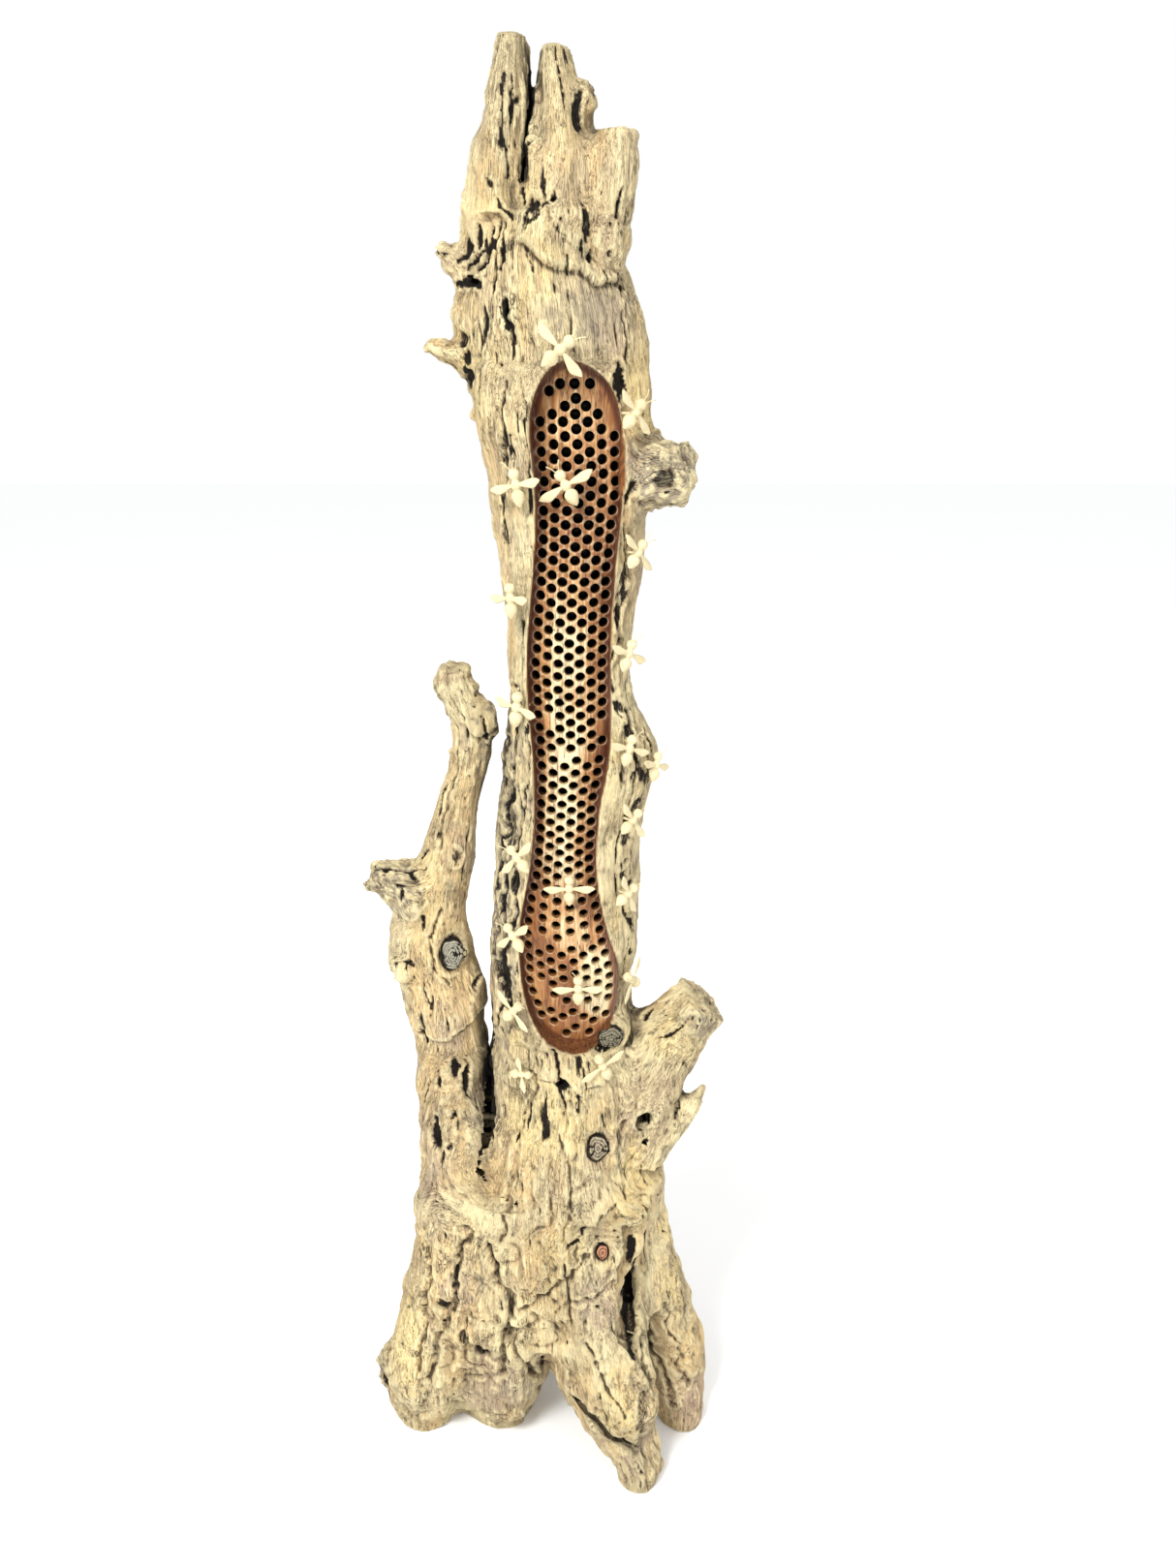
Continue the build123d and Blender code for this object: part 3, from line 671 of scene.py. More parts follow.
ragged = 6 * noise(points / 20, 36) + 5 * noise(points / 9, 33) + 2 * noise(points / 4, 34)
for name, start, end, z_left, z_right, sag, thick, reach in LEDGES:
    left, right = across_node(name, z_left, start), across_node(name, z_right, end)
    share = np.clip((points[:, 0] - left) / (right - left), 0, 1)
    foot = z_left + (z_right - z_left) * share - sag * np.sin(np.pi * share) + ragged
    above = points[:, 2] - foot
    within = ramp(points[:, 0], left - 8, left + 2) * ramp(points[:, 0], right + 8, right - 2)
    step = ramp(above, -1.5, 1.5) * ramp(above, reach, reach * 0.3)
    shadow = ramp(above, 2, -1) * ramp(above, -14, -1)
    lift += thick * step * within * front
    painted_shade = np.maximum(painted_shade, 0.6 * shadow * within * front)
for _, x, z, wide, high in KNOTS:
    away = oval_away(x, z, wide + 1.5, high + 1.5)
    seat = ramp(away, 1.35, 1.0) * front
    lift += (1.5 * ramp(away, 1.5, 1.2) * front - lift) * ramp(away, 1.7, 1.25) * front
    lift -= 6 * seat
    painted_shade = np.maximum(painted_shade, 0.8 * ramp(away, 1.25, 1.05) * front)
for corners, wide in CLEFTS:
    away = line_away(corners, frontal_spots) + 1.5 * noise(points / 8, 39)
    flank = ramp(normals[:, 1], -0.86, -0.5) * (points[:, 1] < 0)
    painted_shade = np.maximum(painted_shade, ramp(away, wide, 0.5 * wide) * flank)
tint = 0.55 * noise(points / 55, 41) + 0.35 * noise(points / 22, 42)
for *oval, strength in TINTS:
    tint += strength * ramp(oval_away(*oval) + edge_noise, 1.4, 0.3) * front
grey = 0.8 * broken
for *oval, strength in GREYS:
    grey = np.maximum(grey, strength * ramp(oval_away(*oval) + edge_noise, 1.3, 0.5) * front)

# sawn ends stay nearly flat, and thin parts lose little
sawn = ramp(normals[:, 2], 0.75, 0.92) * (points[:, 2] > SAWN_ABOVE)
slim = owned_by("spike", "upper_thorn", "lower_thorn", "top_knot", "left_prong", "middle_prong")
ground = ramp(points[:, 2], 1.0, 8.0)
lift = np.clip(lift - 1.6, np.where(slim, -3.0, -9.0), 7.5)
lift *= free * (1 - 0.75 * sawn) * (0.25 + 0.75 * ground)
resting = points[:, 2] < 0.6


def settle(places):
    """Keeps the feet flat on the floor."""
    places[resting, 2] = 0
    places[:, 2] = np.maximum(places[:, 2], 0)
    return places


moved = settle(points + normals * lift[:, None])

# ------------------------------------------------------------------------------------------------
# How hollow and how shaded every point is, for painted shade in the hollows and paler ridges
# ------------------------------------------------------------------------------------------------


def neighbour_mean(values, quads, count):
    """Mean of each point's neighbours along the edges."""
    total = np.zeros_like(values)
    number = np.zeros(count)
    for k in range(4):
        a, b = quads[:, k], quads[:, (k + 1) % 4]
        for one, other in ((a, b), (b, a)):
            number += np.bincount(one, minlength=count)
            for axis in range(values.shape[1]):
                total[:, axis] += np.bincount(one, values[other, axis], count)
    return total / np.maximum(number, 1)[:, None]


def hollow_of(places, facing, quads, rounds):
    """Millimetres by which the smoothed surface stands outside the surface."""
    smooth = places
    for _ in range(rounds):
        smooth = neighbour_mean(smooth, quads, len(places))
    return ((smooth - places) * facing).sum(1)


# the finest spikes are taken off before shading
moved = settle(0.75 * moved + 0.25 * neighbour_mean(moved, quads, len(moved)))
facing = normals_of(moved, quads)
fine_hollow = hollow_of(moved, facing, quads, 3)
broad_hollow = hollow_of(moved, facing, quads, 14)
zero = np.zeros(3, int)
# shade: how closely other wood stands in front of each point; the timber material paints it as shade
shade = np.zeros(len(moved))
SHADE_REACHES = (6, 12, 20, 26)
for reach in SHADE_REACHES:
    open_air = sample(zero, field, points + normals * reach)
    shade += np.clip(1 - open_air / reach, 0, 1) / len(SHADE_REACHES)


# ------------------------------------------------------------------------------------------------
# Meshes
# ------------------------------------------------------------------------------------------------


def new_piece(name, places, faces, material, slot, attributes, facing=None):
    """One object from places in millimetres, with its attributes and its material; slot is not used."""
    mesh = bpy.data.meshes.new(name)
    mesh.from_pydata((np.asarray(places) / MM).tolist(), [], faces)
    mesh.shade_smooth()
    for key, values in attributes.items():
        values = np.asarray(values, np.float32)
        kind = "FLOAT_VECTOR" if values.ndim == 2 else "FLOAT"
        field_name = "vector" if values.ndim == 2 else "value"
        mesh.attributes.new(key, kind, "POINT").data.foreach_set(field_name, values.ravel())
    if facing is not None:
        mesh.normals_split_custom_set_from_vertices(np.asarray(facing).tolist())
    mesh.materials.append(material)
    piece = bpy.data.objects.new(name, mesh)
    bpy.context.scene.collection.objects.link(piece)
    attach(piece, "root")
    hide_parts(name)
    return piece


def fan(ring, tip):
    """Triangles between a closed ring of point numbers and a tip."""
    return [[ring[k], ring[(k + 1) % len(ring)], tip] for k in range(len(ring))]


def band(one, other):
    """Quads between two closed rings of point numbers."""
    after = [(k + 1) % len(one) for k in range(len(one))]
    return [[one[k], one[after[k]], other[after[k]], other[k]] for k in range(len(one))]


def open_loops(quads):
    """Loops of the open edges of a patch of quads, against the direction of its faces."""
    starts = quads.ravel()
    ends = np.roll(quads, -1, 1).ravel()
    size = quads.max() + 1
    lone = ~np.isin(starts * size + ends, ends * size + starts)
    following = {}
    for a, b in zip(starts[lone].tolist(), ends[lone].tolist()):
        following.setdefault(b, []).append(a)
    loops = []
    while following:
        first = next(iter(following))
        loop = [first]
        while True:
            onward = following[loop[-1]]
            step = onward.pop()
            if not onward:
                del following[loop[-1]]
            if step == first or step not in following:
                break
            loop.append(step)
        loops.append(loop)
    return loops


def timber_piece(name, quads, places, facing, attributes, material, slot):
    """The patch of the timber that stands for one node, closed where it meets its neighbours."""
    used, faces = np.unique(quads, return_inverse=True)
    faces = faces.reshape(quads.shape)
    places, facing = places[used], facing[used]
    attributes = {key: values[used] for key, values in attributes.items()}
    caps = []
    for loop in open_loops(faces):
        middle = places[loop].mean(0) - 4 * facing[loop].mean(0)
        tip = len(places)
        places = np.vstack((places, middle))
        facing = np.vstack((facing, facing[loop[0]]))
        attributes = {key: np.concatenate((values, values[loop[:1]])) for key, values in attributes.items()}
        caps += fan(loop, tip)
    return new_piece(name, places, faces.tolist() + caps, material, slot, attributes, facing)


def revolved(profile, sides, place, uneven=0.0, seed=0):
    """Places and faces of a closed turned shape; profile is (along, radius) from tip to tip."""
    places, faces = [], []
    last = len(profile) - 1
    for rank, (along, radius) in enumerate(profile):
        if rank in (0, last):
            places.append((0, along, 0))
            continue
        for k in range(sides):
            angle = 2 * math.pi * k / sides
            places.append((radius * math.cos(angle), along, radius * math.sin(angle)))
    places = np.array(places, float)
    if uneven:
        places *= 1 + uneven * noise(places / 4 + seed * 3.7, 60)[:, None]
    for rank in range(last):
        for k in range(sides):
            here = [1 + (rank - 1) * sides + k, 1 + (rank - 1) * sides + (k + 1) % sides]
            there = [1 + rank * sides + k, 1 + rank * sides + (k + 1) % sides]
            if rank == 0:
                faces.append([0, there[0], there[1]])
            elif rank == last - 1:
                faces.append([here[1], here[0], len(places) - 1])
            else:
                faces.append([here[0], there[0], there[1], here[1]])
    return place(places), faces


def gather(parts):
    """Several (places, faces) as one."""
    places, faces, count = [], [], 0
    for part_places, part_faces in parts:
        places.append(part_places)
        faces += [[index + count for index in face] for face in part_faces]
        count += len(part_places)
    return np.vstack(places), faces


# ------------------------------------------------------------------------------------------------
# Materials
# ------------------------------------------------------------------------------------------------
class Paint:
    """Short calls for the nodes of one material."""

    def __init__(self, name):
        self.material = bpy.data.materials.new(name)
        self.material.use_nodes = True
        self.tree = self.material.node_tree
        self.shader = self.tree.nodes["Principled BSDF"]

    def node(self, kind, inputs=(), **settings):
        """A node with its inputs filled by number; a value that is a socket is linked."""
        made = self.tree.nodes.new(kind)
        for key, value in settings.items():
            setattr(made, key, value)
        for key, value in dict(inputs).items():
            self.fill(made.inputs[key], value)
        return made

    def fill(self, socket, value):
        if isinstance(value, bpy.types.NodeSocket):
            self.tree.links.new(value, socket)
        else:
            socket.default_value = value

    def attribute(self, name, vector=False):
        made = self.node("ShaderNodeAttribute", attribute_name=name)
        return made.outputs["Vector" if vector else "Fac"]

    def place(self):
        """Place in the row frame, in metres."""
        return self.node("ShaderNodeTexCoord").outputs["Object"]

    def scaled(self, vector, x, y, z):
        scale = {0: vector, 1: (x, y, z)}
        return self.node("ShaderNodeVectorMath", scale, operation="MULTIPLY").outputs[0]

    def noise(self, vector, scale, detail, rough, sway):
        inputs = {"Vector": vector, "Scale": scale, "Detail": detail, "Roughness": rough, "Distortion": sway}
        return self.node("ShaderNodeTexNoise", inputs).outputs["Fac"]

    def grained(self, vector, scales, detail, rough, sway):
        """Noise with its own scale along each axis."""
        return self.noise(self.scaled(vector, *scales), 1.0, detail, rough, sway)

    def math(self, operation, a, b=0.0):
        return self.node("ShaderNodeMath", {0: a, 1: b}, operation=operation).outputs[0]

    def times(self, a, b):
        return self.math("MULTIPLY", a, b)

    def plus(self, a, b):
        return self.math("ADD", a, b)

    def swing(self, noise, strength):
        """A noise about 0, times a strength."""
        return self.times(self.math("SUBTRACT", noise, 0.5), strength)

    def step(self, value, start, end, low=0.0, high=1.0):
        """low before start, high after end, smooth between."""
        inputs = {"Value": value, "From Min": start, "From Max": end, "To Min": low, "To Max": high}
        made = self.node("ShaderNodeMapRange", inputs, interpolation_type="SMOOTHSTEP")
        return made.outputs["Result"]

    def line(self, value, width):
        """1 where a noise crosses its middle, 0 from width away."""
        away = self.math("ABSOLUTE", self.math("SUBTRACT", value, 0.5))
        return self.step(away, 0.0, width, 1.0, 0.0)

    def mix(self, share, a, b):
        made = self.node("ShaderNodeMix", data_type="RGBA")
        self.fill(made.inputs["Factor"], share)
        self.fill(made.inputs["A"], a if isinstance(a, bpy.types.NodeSocket) else (*a, 1))
        self.fill(made.inputs["B"], b if isinstance(b, bpy.types.NodeSocket) else (*b, 1))
        return made.outputs["Result"]

    def layered(self, colour, rows):
        """Colours laid over one another: (value, start, end, strength, colour) in each row."""
        for value, start, end, strength, tone in rows:
            colour = self.mix(self.step(value, start, end, 0.0, strength), colour, tone)
        return colour

    def finish(self, colour, height, millimetres, rough, gloss):
        self.fill(self.shader.inputs["Base Color"], colour)
        self.fill(self.shader.inputs["Roughness"], rough)
        self.shader.inputs["Specular IOR Level"].default_value = gloss
        bump = self.node("ShaderNodeBump", {"Height": height, "Distance": millimetres / MM, "Strength": 1.0})
        self.fill(self.shader.inputs["Normal"], bump.outputs["Normal"])
        return self.material


CREAM = (0.84, 0.71, 0.41)
HONEY = (0.78, 0.55, 0.26)
STRAW = (0.68, 0.53, 0.31)
TAN = (0.42, 0.31, 0.18)
DUSTY_PINK = (0.56, 0.40, 0.29)
DRIFT_GREY = (0.27, 0.235, 0.18)
SUNNY = (0.95, 0.735, 0.34)
MAUVE = (0.52, 0.395, 0.275)
UMBER = (0.085, 0.058, 0.032)
# near black: the painted shade of pits, clefts, checks, knot cracks and deep holes, and the colour of fine
# crease lines
CRACK_DARK = (0.014, 0.010, 0.007)
RED_WOOD = (0.25, 0.092, 0.024)
DEEP_RED = (0.085, 0.024, 0.012)
ROSE_WOOD = (0.44, 0.225, 0.078)
PALE_CORE = (0.76, 0.62, 0.37)


def weathered_wood():
    """Bleached root wood: fibres along the grain, flowing figure, cracks, painted shade in the hollows and
    deep places.
    """
    paint = Paint("weathered_wood")
    grain = paint.attribute("grain", vector=True)
    place = paint.place()
    blotch = paint.noise(place, 12.0, 4.0, 0.6, 0.6)
    patch = paint.noise(place, 30.0, 5.0, 0.68, 0.8)
    rosy = paint.noise(place, 7.5, 3.0, 0.6, 0.4)
    honey = paint.grained(place, (16.0, 16.0, 5.0), 3.0, 0.6, 0.4)
    fibre = paint.grained(grain, (9.0, 9.0, 0.55), 6.0, 0.72, 0.3)
    streak = paint.grained(grain, (2.6, 2.6, 0.2), 5.0, 0.65, 0.9)
    dash = paint.grained(grain, (4.4, 4.4, 0.6), 4.0, 0.7, 1.1)
    figure = paint.grained(grain, (0.8, 0.8, 0.09), 3.0, 0.5, 1.4)
    rings = paint.math("SINE", paint.times(figure, 130.0))
    crease = paint.line(paint.grained(grain, (1.7, 1.7, 0.16), 4.0, 0.6, 1.0), 0.018)
    hair = paint.line(paint.grained(grain, (4.2, 4.2, 0.3), 3.0, 0.6, 0.8), 0.024)
    crease = paint.times(crease, paint.step(patch, 0.48, 0.62))
    hair = paint.times(hair, paint.step(blotch, 0.38, 0.56))
    speck = paint.step(paint.grained(grain, (8.0, 8.0, 2.2), 5.0, 0.75, 0.6), 0.60, 0.70)
    dashes = paint.times(paint.step(dash, 0.58, 0.68), paint.step(patch, 0.36, 0.6))
    hollow, broad, shade, painted_shade, routed, grey, tint = (
        paint.attribute(name) for name in ("hollow", "broad", "shade", "painted_shade", "routed", "grey", "tint"))

    colour = paint.layered(CREAM, (
        (blotch, 0.42, 0.66, 1.0, STRAW),
        (honey, 0.46, 0.62, 0.85, HONEY),
        (rosy, 0.52, 0.68, 0.7, DUSTY_PINK),
        (tint, 0.15, 0.9, 0.85, SUNNY),
        (tint, -0.15, -0.9, 0.75, MAUVE),
        (patch, 0.50, 0.72, 0.8, TAN),
        (paint.plus(grey, paint.swing(streak, 2.2)), 0.28, 1.1, 0.85, DRIFT_GREY),
        (streak, 0.50, 0.72, 0.7, DRIFT_GREY),
        (fibre, 0.50, 0.72, 0.85, TAN),
        (rings, 0.2, 1.0, 0.3, TAN),
        # painted shade: darker in broad hollows, where other wood stands close in front, and in fine hollows
        (broad, 0.3, 2.4, 0.6, TAN),
        (shade, 0.3, 0.85, 0.8, UMBER),
        (hollow, 0.25, 1.5, 0.85, UMBER),
    ))
    for lines, strength in ((speck, 0.75), (dashes, 0.8), (hair, 0.8)):
        colour = paint.mix(paint.times(lines, strength), colour, UMBER)
    colour = paint.layered(colour, [(hollow, -0.1, -0.7, 0.7, CREAM)])
    colour = paint.mix(paint.times(crease, 0.95), colour, CRACK_DARK)
    # painted shade, near black, in pits, seams, ledges, clefts, knot seats and checks
    colour = paint.mix(paint.step(paint.plus(painted_shade, paint.swing(dash, 1.2)), 0.38, 0.80), colour, CRACK_DARK)
    red = paint.layered(RED_WOOD, ((streak, 0.35, 0.7, 1.0, DEEP_RED), (fibre, 0.5, 0.75, 0.5, ROSE_WOOD)))
    colour = paint.mix(routed, colour, red)

    height = paint.plus(paint.times(fibre, 0.9), paint.times(streak, 1.3))
    height = paint.plus(height, paint.times(rings, 0.06))
    for lines, depth in ((crease, 1.3), (hair, 0.5), (speck, 0.35), (dashes, 0.8)):
        height = paint.math("SUBTRACT", height, paint.times(lines, depth))
    return paint.finish(colour, height, 2.2, 0.88, 0.2)


def heart_wood():
    """Oiled reddish heartwood with upright streaks; painted light on the pale parts of the face, painted
    shade along the niche walls and deep in the holes; pale at the hole lips.
    """
    paint = Paint("heartwood")
    place = paint.place()
    streak = paint.grained(place, (240.0, 90.0, 14.0), 5.0, 0.7, 0.6)
    fibre = paint.grained(place, (900.0, 400.0, 45.0), 4.0, 0.7, 0.2)
    cloud = paint.grained(place, (60.0, 60.0, 22.0), 4.0, 0.65, 0.6)
    vein = paint.line(paint.grained(place, (120.0, 40.0, 8.0), 3.0, 0.6, 0.8), 0.022)
    pale, rim, depth = (paint.attribute(name) for name in ("pale", "rim", "depth"))
    wander = paint.swing(streak, 2.0)
    # tone: the wood's own streaks and clouds, plus painted light where the face is pale
    tone = paint.plus(paint.plus(pale, wander), paint.swing(cloud, 1.6))
    colour = paint.layered(RED_WOOD, (
        (tone, -0.05, 0.5, 1.0, ROSE_WOOD),
        (tone, 0.35, 1.0, 1.0, PALE_CORE),
        (fibre, 0.48, 0.72, 0.6, RED_WOOD),
        (tone, -0.1, -0.6, 0.85, DEEP_RED),
    ))
    colour = paint.mix(paint.times(vein, 0.8), colour, DEEP_RED)
    colour = paint.layered(colour, (
        # painted shade: darker towards the niche walls
        (paint.plus(rim, paint.times(wander, 0.4)), 0.3, 0.95, 0.8, DEEP_RED),
        (depth, -0.5, -1.0, 0.7, PALE_CORE),
        # painted shade: black deep in the holes
        (depth, 0.22, 0.50, 1.0, CRACK_DARK),
    ))
    height = paint.plus(streak, paint.times(fibre, 0.4))
    height = paint.math("SUBTRACT", height, paint.times(vein, 0.5))
    return paint.finish(colour, height, 0.8, 0.45, 0.5)


def plain_wood(name, light, dark, cell, rough):
    """Close-grained wood in two near colours, with short fibres along its own line."""
    paint = Paint(name)
    along = paint.attribute("along", vector=True)
    fibre = paint.grained(along, (1.0 / cell, 0.16 / cell, 1.0 / cell), 4.0, 0.6, 0.4)
    tone = paint.grained(along, (0.09, 0.05, 0.09), 3.0, 0.6, 0.5)
    colour = paint.layered(light, ((fibre, 0.4, 0.7, 0.6, dark), (tone, 0.45, 0.75, 0.6, dark)))
    return paint.finish(colour, fibre, 0.35, rough, 0.3)


def dead_wood(name, light, dark):
    """Dead knot wood in two tones, with fine dark flecks and painted shade where it is hollow."""
    paint = Paint(name)
    hollow = paint.attribute("hollow")
    turn = paint.attribute("along", vector=True)
    fleck = paint.grained(turn, (0.7, 0.7, 0.7), 5.0, 0.7, 1.0)
    fine = paint.grained(turn, (2.2, 2.2, 2.2), 4.0, 0.7, 0.3)
    colour = paint.layered(light, (
        (fleck, 0.32, 0.62, 1.0, dark),
        (fine, 0.50, 0.68, 0.75, UMBER),
        # painted shade where the knot is hollow
        (hollow, 0.25, 0.8, 1.0, CRACK_DARK),
    ))
    return paint.finish(colour, paint.plus(fleck, paint.times(fine, 0.6)), 0.8, 0.85, 0.2)


# ------------------------------------------------------------------------------------------------
# Timber pieces
# ------------------------------------------------------------------------------------------------
wood = weathered_wood()
timber_attributes = {
    "grain": grain / 10,
    # hollow, broad and shade become painted shade in the material
    "hollow": fine_hollow,
    "broad": broad_hollow,
    "shade": shade,
    # painted shade of pits, seams, ledges, clefts, knot seats and checks
    "painted_shade": np.maximum(painted_shade, 0.85 * crack * free),
    "routed": routed,
    "grey": grey,
    "tint": tint,
}
quad_owner = owner[quads[:, 0]]
for index, name in enumerate(TIMBER):
    timber_piece(name, quads[quad_owner == index], moved, facing, timber_attributes, wood, "weathered_wood")

# ------------------------------------------------------------------------------------------------
# The nest core
# ------------------------------------------------------------------------------------------------
HOLE_RADIUS = 5.0
HOLE_DEPTH = 24.0
FIRST_ROW = 574.3
ROW_PITCH = 6.65
HOLE_ROWS = 103
# (up to this height, gaps between the columns)
HOLE_GAPS = [(590, 4), (612, 6), (686, 7), (890, 5), (1300, 6)]
HOLE_EDGE = 7.0
DRILLED = (569, 1264)        # heights between which holes are drilled
PEG_ROOM = 7.0               # a hole's middle stays this far from a peg's
KNOT_ROOM = 21               # and this far from the dead knot's
NARROWING = 0.84
HOLE_WALL = 0.3
AIM_Y = 100.0
HOLE_SIDES = 24
CORE_BACK = -23.0
BACK_MIDDLE = (45.0, CORE_BACK, 900.0)
CORE_GRID = 2.6
# depth from the face and radius of each ring of a hole
HOLE_RINGS = [(0.5, 5.0), (3.0, 5.0), (8.0, 5.0), (16.0, 5.0), (HOLE_DEPTH, 4.9)]
LIP_RADIUS = 5.12

# Bees: (height, x, heading in degrees from straight up, leaning right, size, sits on the nest face)
BEES = [
    (1273, 32, 50, 1.08, False), (1156, 38, -30, 1.05, True), (1157, -9, -12, 1.00, False),
    (1220, 100, 46, 1.00, False), (1094, 104, 45, 0.95, False), (1051, -17, -4, 1.00, False),
    (998, 96, 25, 0.95, False), (945, -13, 8, 1.08, False), (904, 98, 20, 0.95, False),
    (880, 126, 20, 0.90, False), (826, 102, 55, 0.95, False), (788, -15, -48, 1.00, False),
    (752, 37, 0, 0.98, True), (744, 98, 66, 0.95, False), (700, -21, -40, 1.00, False),
    (641, 46, 0, 1.00, True), (638, 104, -50, 1.00, False), (614, -23, 42, 1.00, False),
    (542, -15, 80, 0.80, False), (552, 73, -24, 1.05, False),
]


def nest_face(x, z):
    """Depth and sideways slope of the nest face at places (x, z)."""
    middle, half, face_front, side = (np.interp(z, NEST_FACE[:, 0], NEST_FACE[:, k]) for k in range(1, 5))
    share = (x - middle) / half
    return face_front + (side - face_front) * share ** 2, 2 * (side - face_front) * share / half


def niche_span(z):
    """Left and right wall of the niche at a height."""
    crossings = []
    for (x1, z1), (x2, z2) in zip(NICHE, NICHE[1:] + NICHE[:1]):
        if (z1 - z) * (z2 - z) < 0:
            crossings.append(x1 + (x2 - x1) * (z - z1) / (z2 - z1))
    return min(crossings), max(crossings)


def room_for_hole(x, z):
    """True where a nest hole keeps its distance from the niche walls, the pegs and the dead knot."""
    for rise, margin in ((-7, 3.0), (0, HOLE_EDGE - 0.6), (7, 3.0)):
        if not DRILLED[0] < z + rise < DRILLED[1]:
            return False
        left, right = niche_span(z + rise)
        if not left + margin < x < right - margin:
            return False
    if min(math.hypot(x - bee[1], z - bee[0]) for bee in BEES if bee[4]) < PEG_ROOM:
        return False
    _, knot_x, knot_z, *_ = KNOTS[0]
    return math.hypot(x - knot_x, z - knot_z) > KNOT_ROOM


def hole_places():
    """(x, z) of every nest hole, as drilled in the CAD."""
    spots = []
    for row in range(HOLE_ROWS):
        height = FIRST_ROW + row * ROW_PITCH
        left, right = niche_span(height)
        gaps = [count for top, count in HOLE_GAPS if height < top][0]
        gap = (right - left - 2 * HOLE_EDGE) / gaps
        for column in range(row % 2, gaps + 1, 2):
            x = left + HOLE_EDGE + column * gap + 0.4 * math.sin(2.3 * row + 1.9 * column)
            z = height + 0.3 * math.sin(1.7 * row + 2.9 * column)
            crowded = any(math.hypot((x - other_x) * NARROWING, z - other_z)
                          < 2 * HOLE_RADIUS + HOLE_WALL for other_x, other_z in spots)
            if room_for_hole(x, z) and not crowded:
                spots.append((x, z))
    return spots


def nest_core():
    """The drilled face with its undulation, the holes down to their ends, the sides and the back."""
    loop = smooth_loop(NICHE, 6)
    spread = np.roll(loop, -1, 0) - np.roll(loop, 1, 0)
    spread /= np.linalg.norm(spread, axis=1, keepdims=True)
    loop = loop + 1.2 * np.stack((-spread[:, 1], spread[:, 0]), 1)
    turn = 2 * np.pi * np.arange(HOLE_SIDES) / HOLE_SIDES
    rims, frames = [], []
    for x, z in hole_places():
        depth, _ = nest_face(x, z)
        aim = np.array((np.interp(z, NEST_FACE[:, 0], NEST_FACE[:, 1]) - x, AIM_Y - depth, 0))
        aim /= np.linalg.norm(aim)
        side = np.array((aim[1], -aim[0], 0))
        around = np.cos(turn)[:, None] * side + np.sin(turn)[:, None] * np.array((0, 0, 1))
        mouth = np.array((x, depth, z))
        ring = mouth + LIP_RADIUS * around
        for _ in range(4):
            ring += ((nest_face(ring[:, 0], ring[:, 2])[0] - ring[:, 1]) / aim[1])[:, None] * aim
        rims.append(ring[:, [0, 2]])
        frames.append((mouth, aim, around))
    rim_spots = np.vstack(rims)
    xs = np.arange(loop[:, 0].min(), loop[:, 0].max(), CORE_GRID)
    zs = np.arange(loop[:, 1].min(), loop[:, 1].max(), CORE_GRID)
    lattice = np.array([(x + CORE_GRID / 2 * (k % 2), z) for k, z in enumerate(zs) for x in xs])
    scatter = [noise(np.c_[lattice, lattice[:, :1]] / 3, seed) for seed in (70, 71)]
    lattice += 0.25 * CORE_GRID * np.stack(scatter, 1)
    lattice = lattice[beyond(loop, lattice) < -1.3]
    clear = np.full(len(lattice), FAR)
    for mouth, _, _ in frames:
        clear = np.minimum(clear, np.hypot(lattice[:, 0] - mouth[0], lattice[:, 1] - mouth[2]))
    lattice = lattice[clear > LIP_RADIUS + 0.9]
    spots = np.vstack((loop, rim_spots, lattice))
    count = len(loop)
    firsts = [count + number * HOLE_SIDES for number in range(len(frames))]
    edges = [(k, (k + 1) % count) for k in range(count)]
    for first in firsts:
        edges += [(first + k, first + (k + 1) % HOLE_SIDES) for k in range(HOLE_SIDES)]
    flat = [Vector(spot) for spot in spots.tolist()]
    out = geometry.delaunay_2d_cdt(flat, edges, [], 0, 1e-4)
    flat_out, triangles, sources = np.array(out[0]), np.array(out[2]), out[3]
    new_of = {source: new for new, group in enumerate(sources) for source in group}
    group = np.full(len(flat_out), -1)
    for number, first in enumerate(firsts):
        for k in range(HOLE_SIDES):
            group[new_of[first + k]] = number
    same = (group[triangles] == group[triangles[:, :1]]).all(1) & (group[triangles[:, 0]] >= 0)
    middles = flat_out[triangles].mean(1)
    triangles = triangles[~same & (beyond(loop, middles) < 0)]
    places = np.empty((len(flat_out), 3))
    places[:, [0, 2]] = flat_out
    places[:, 1] = nest_face(flat_out[:, 0], flat_out[:, 1])[0]
    face_count = len(places)
    wave = noise(places / np.array((9, 9, 60)), 72) * 0.7 + noise(places / np.array((3, 3, 24)), 73) * 0.3
    places[:, 1] += wave
    # triangles face the front
    a, b, c = (places[triangles[:, k]] for k in range(3))
    backward = np.cross(b - a, c - a)[:, 1] > 0
    triangles[backward] = triangles[backward][:, ::-1]
    faces = triangles.tolist()
    depth_share = np.zeros(face_count)
    more_places, more_depth = [], []
    total = face_count
    for first, (mouth, aim, around) in zip(firsts, frames):
        ring = [new_of[first + k] for k in range(HOLE_SIDES)]
        depth_share[ring] = -0.7
        for sunk, radius in HOLE_RINGS:
            start = mouth + sunk * aim + radius * around
            if sunk < 4:
                flush = nest_face(start[:, 0], start[:, 2])[0] + sunk - start[:, 1]
                start = start + (flush / aim[1])[:, None] * aim
            more_places.append(start)
            more_depth.append(np.full(HOLE_SIDES, -1.0 if sunk < 1 else sunk / HOLE_DEPTH))
            inner = list(range(total, total + HOLE_SIDES))
            total += HOLE_SIDES
            faces += band(ring, inner)
            ring = inner
        more_places.append((mouth + (HOLE_DEPTH + 1) * aim)[None, :])
        more_depth.append(np.ones(1))
        faces += fan(ring, total)
        total += 1
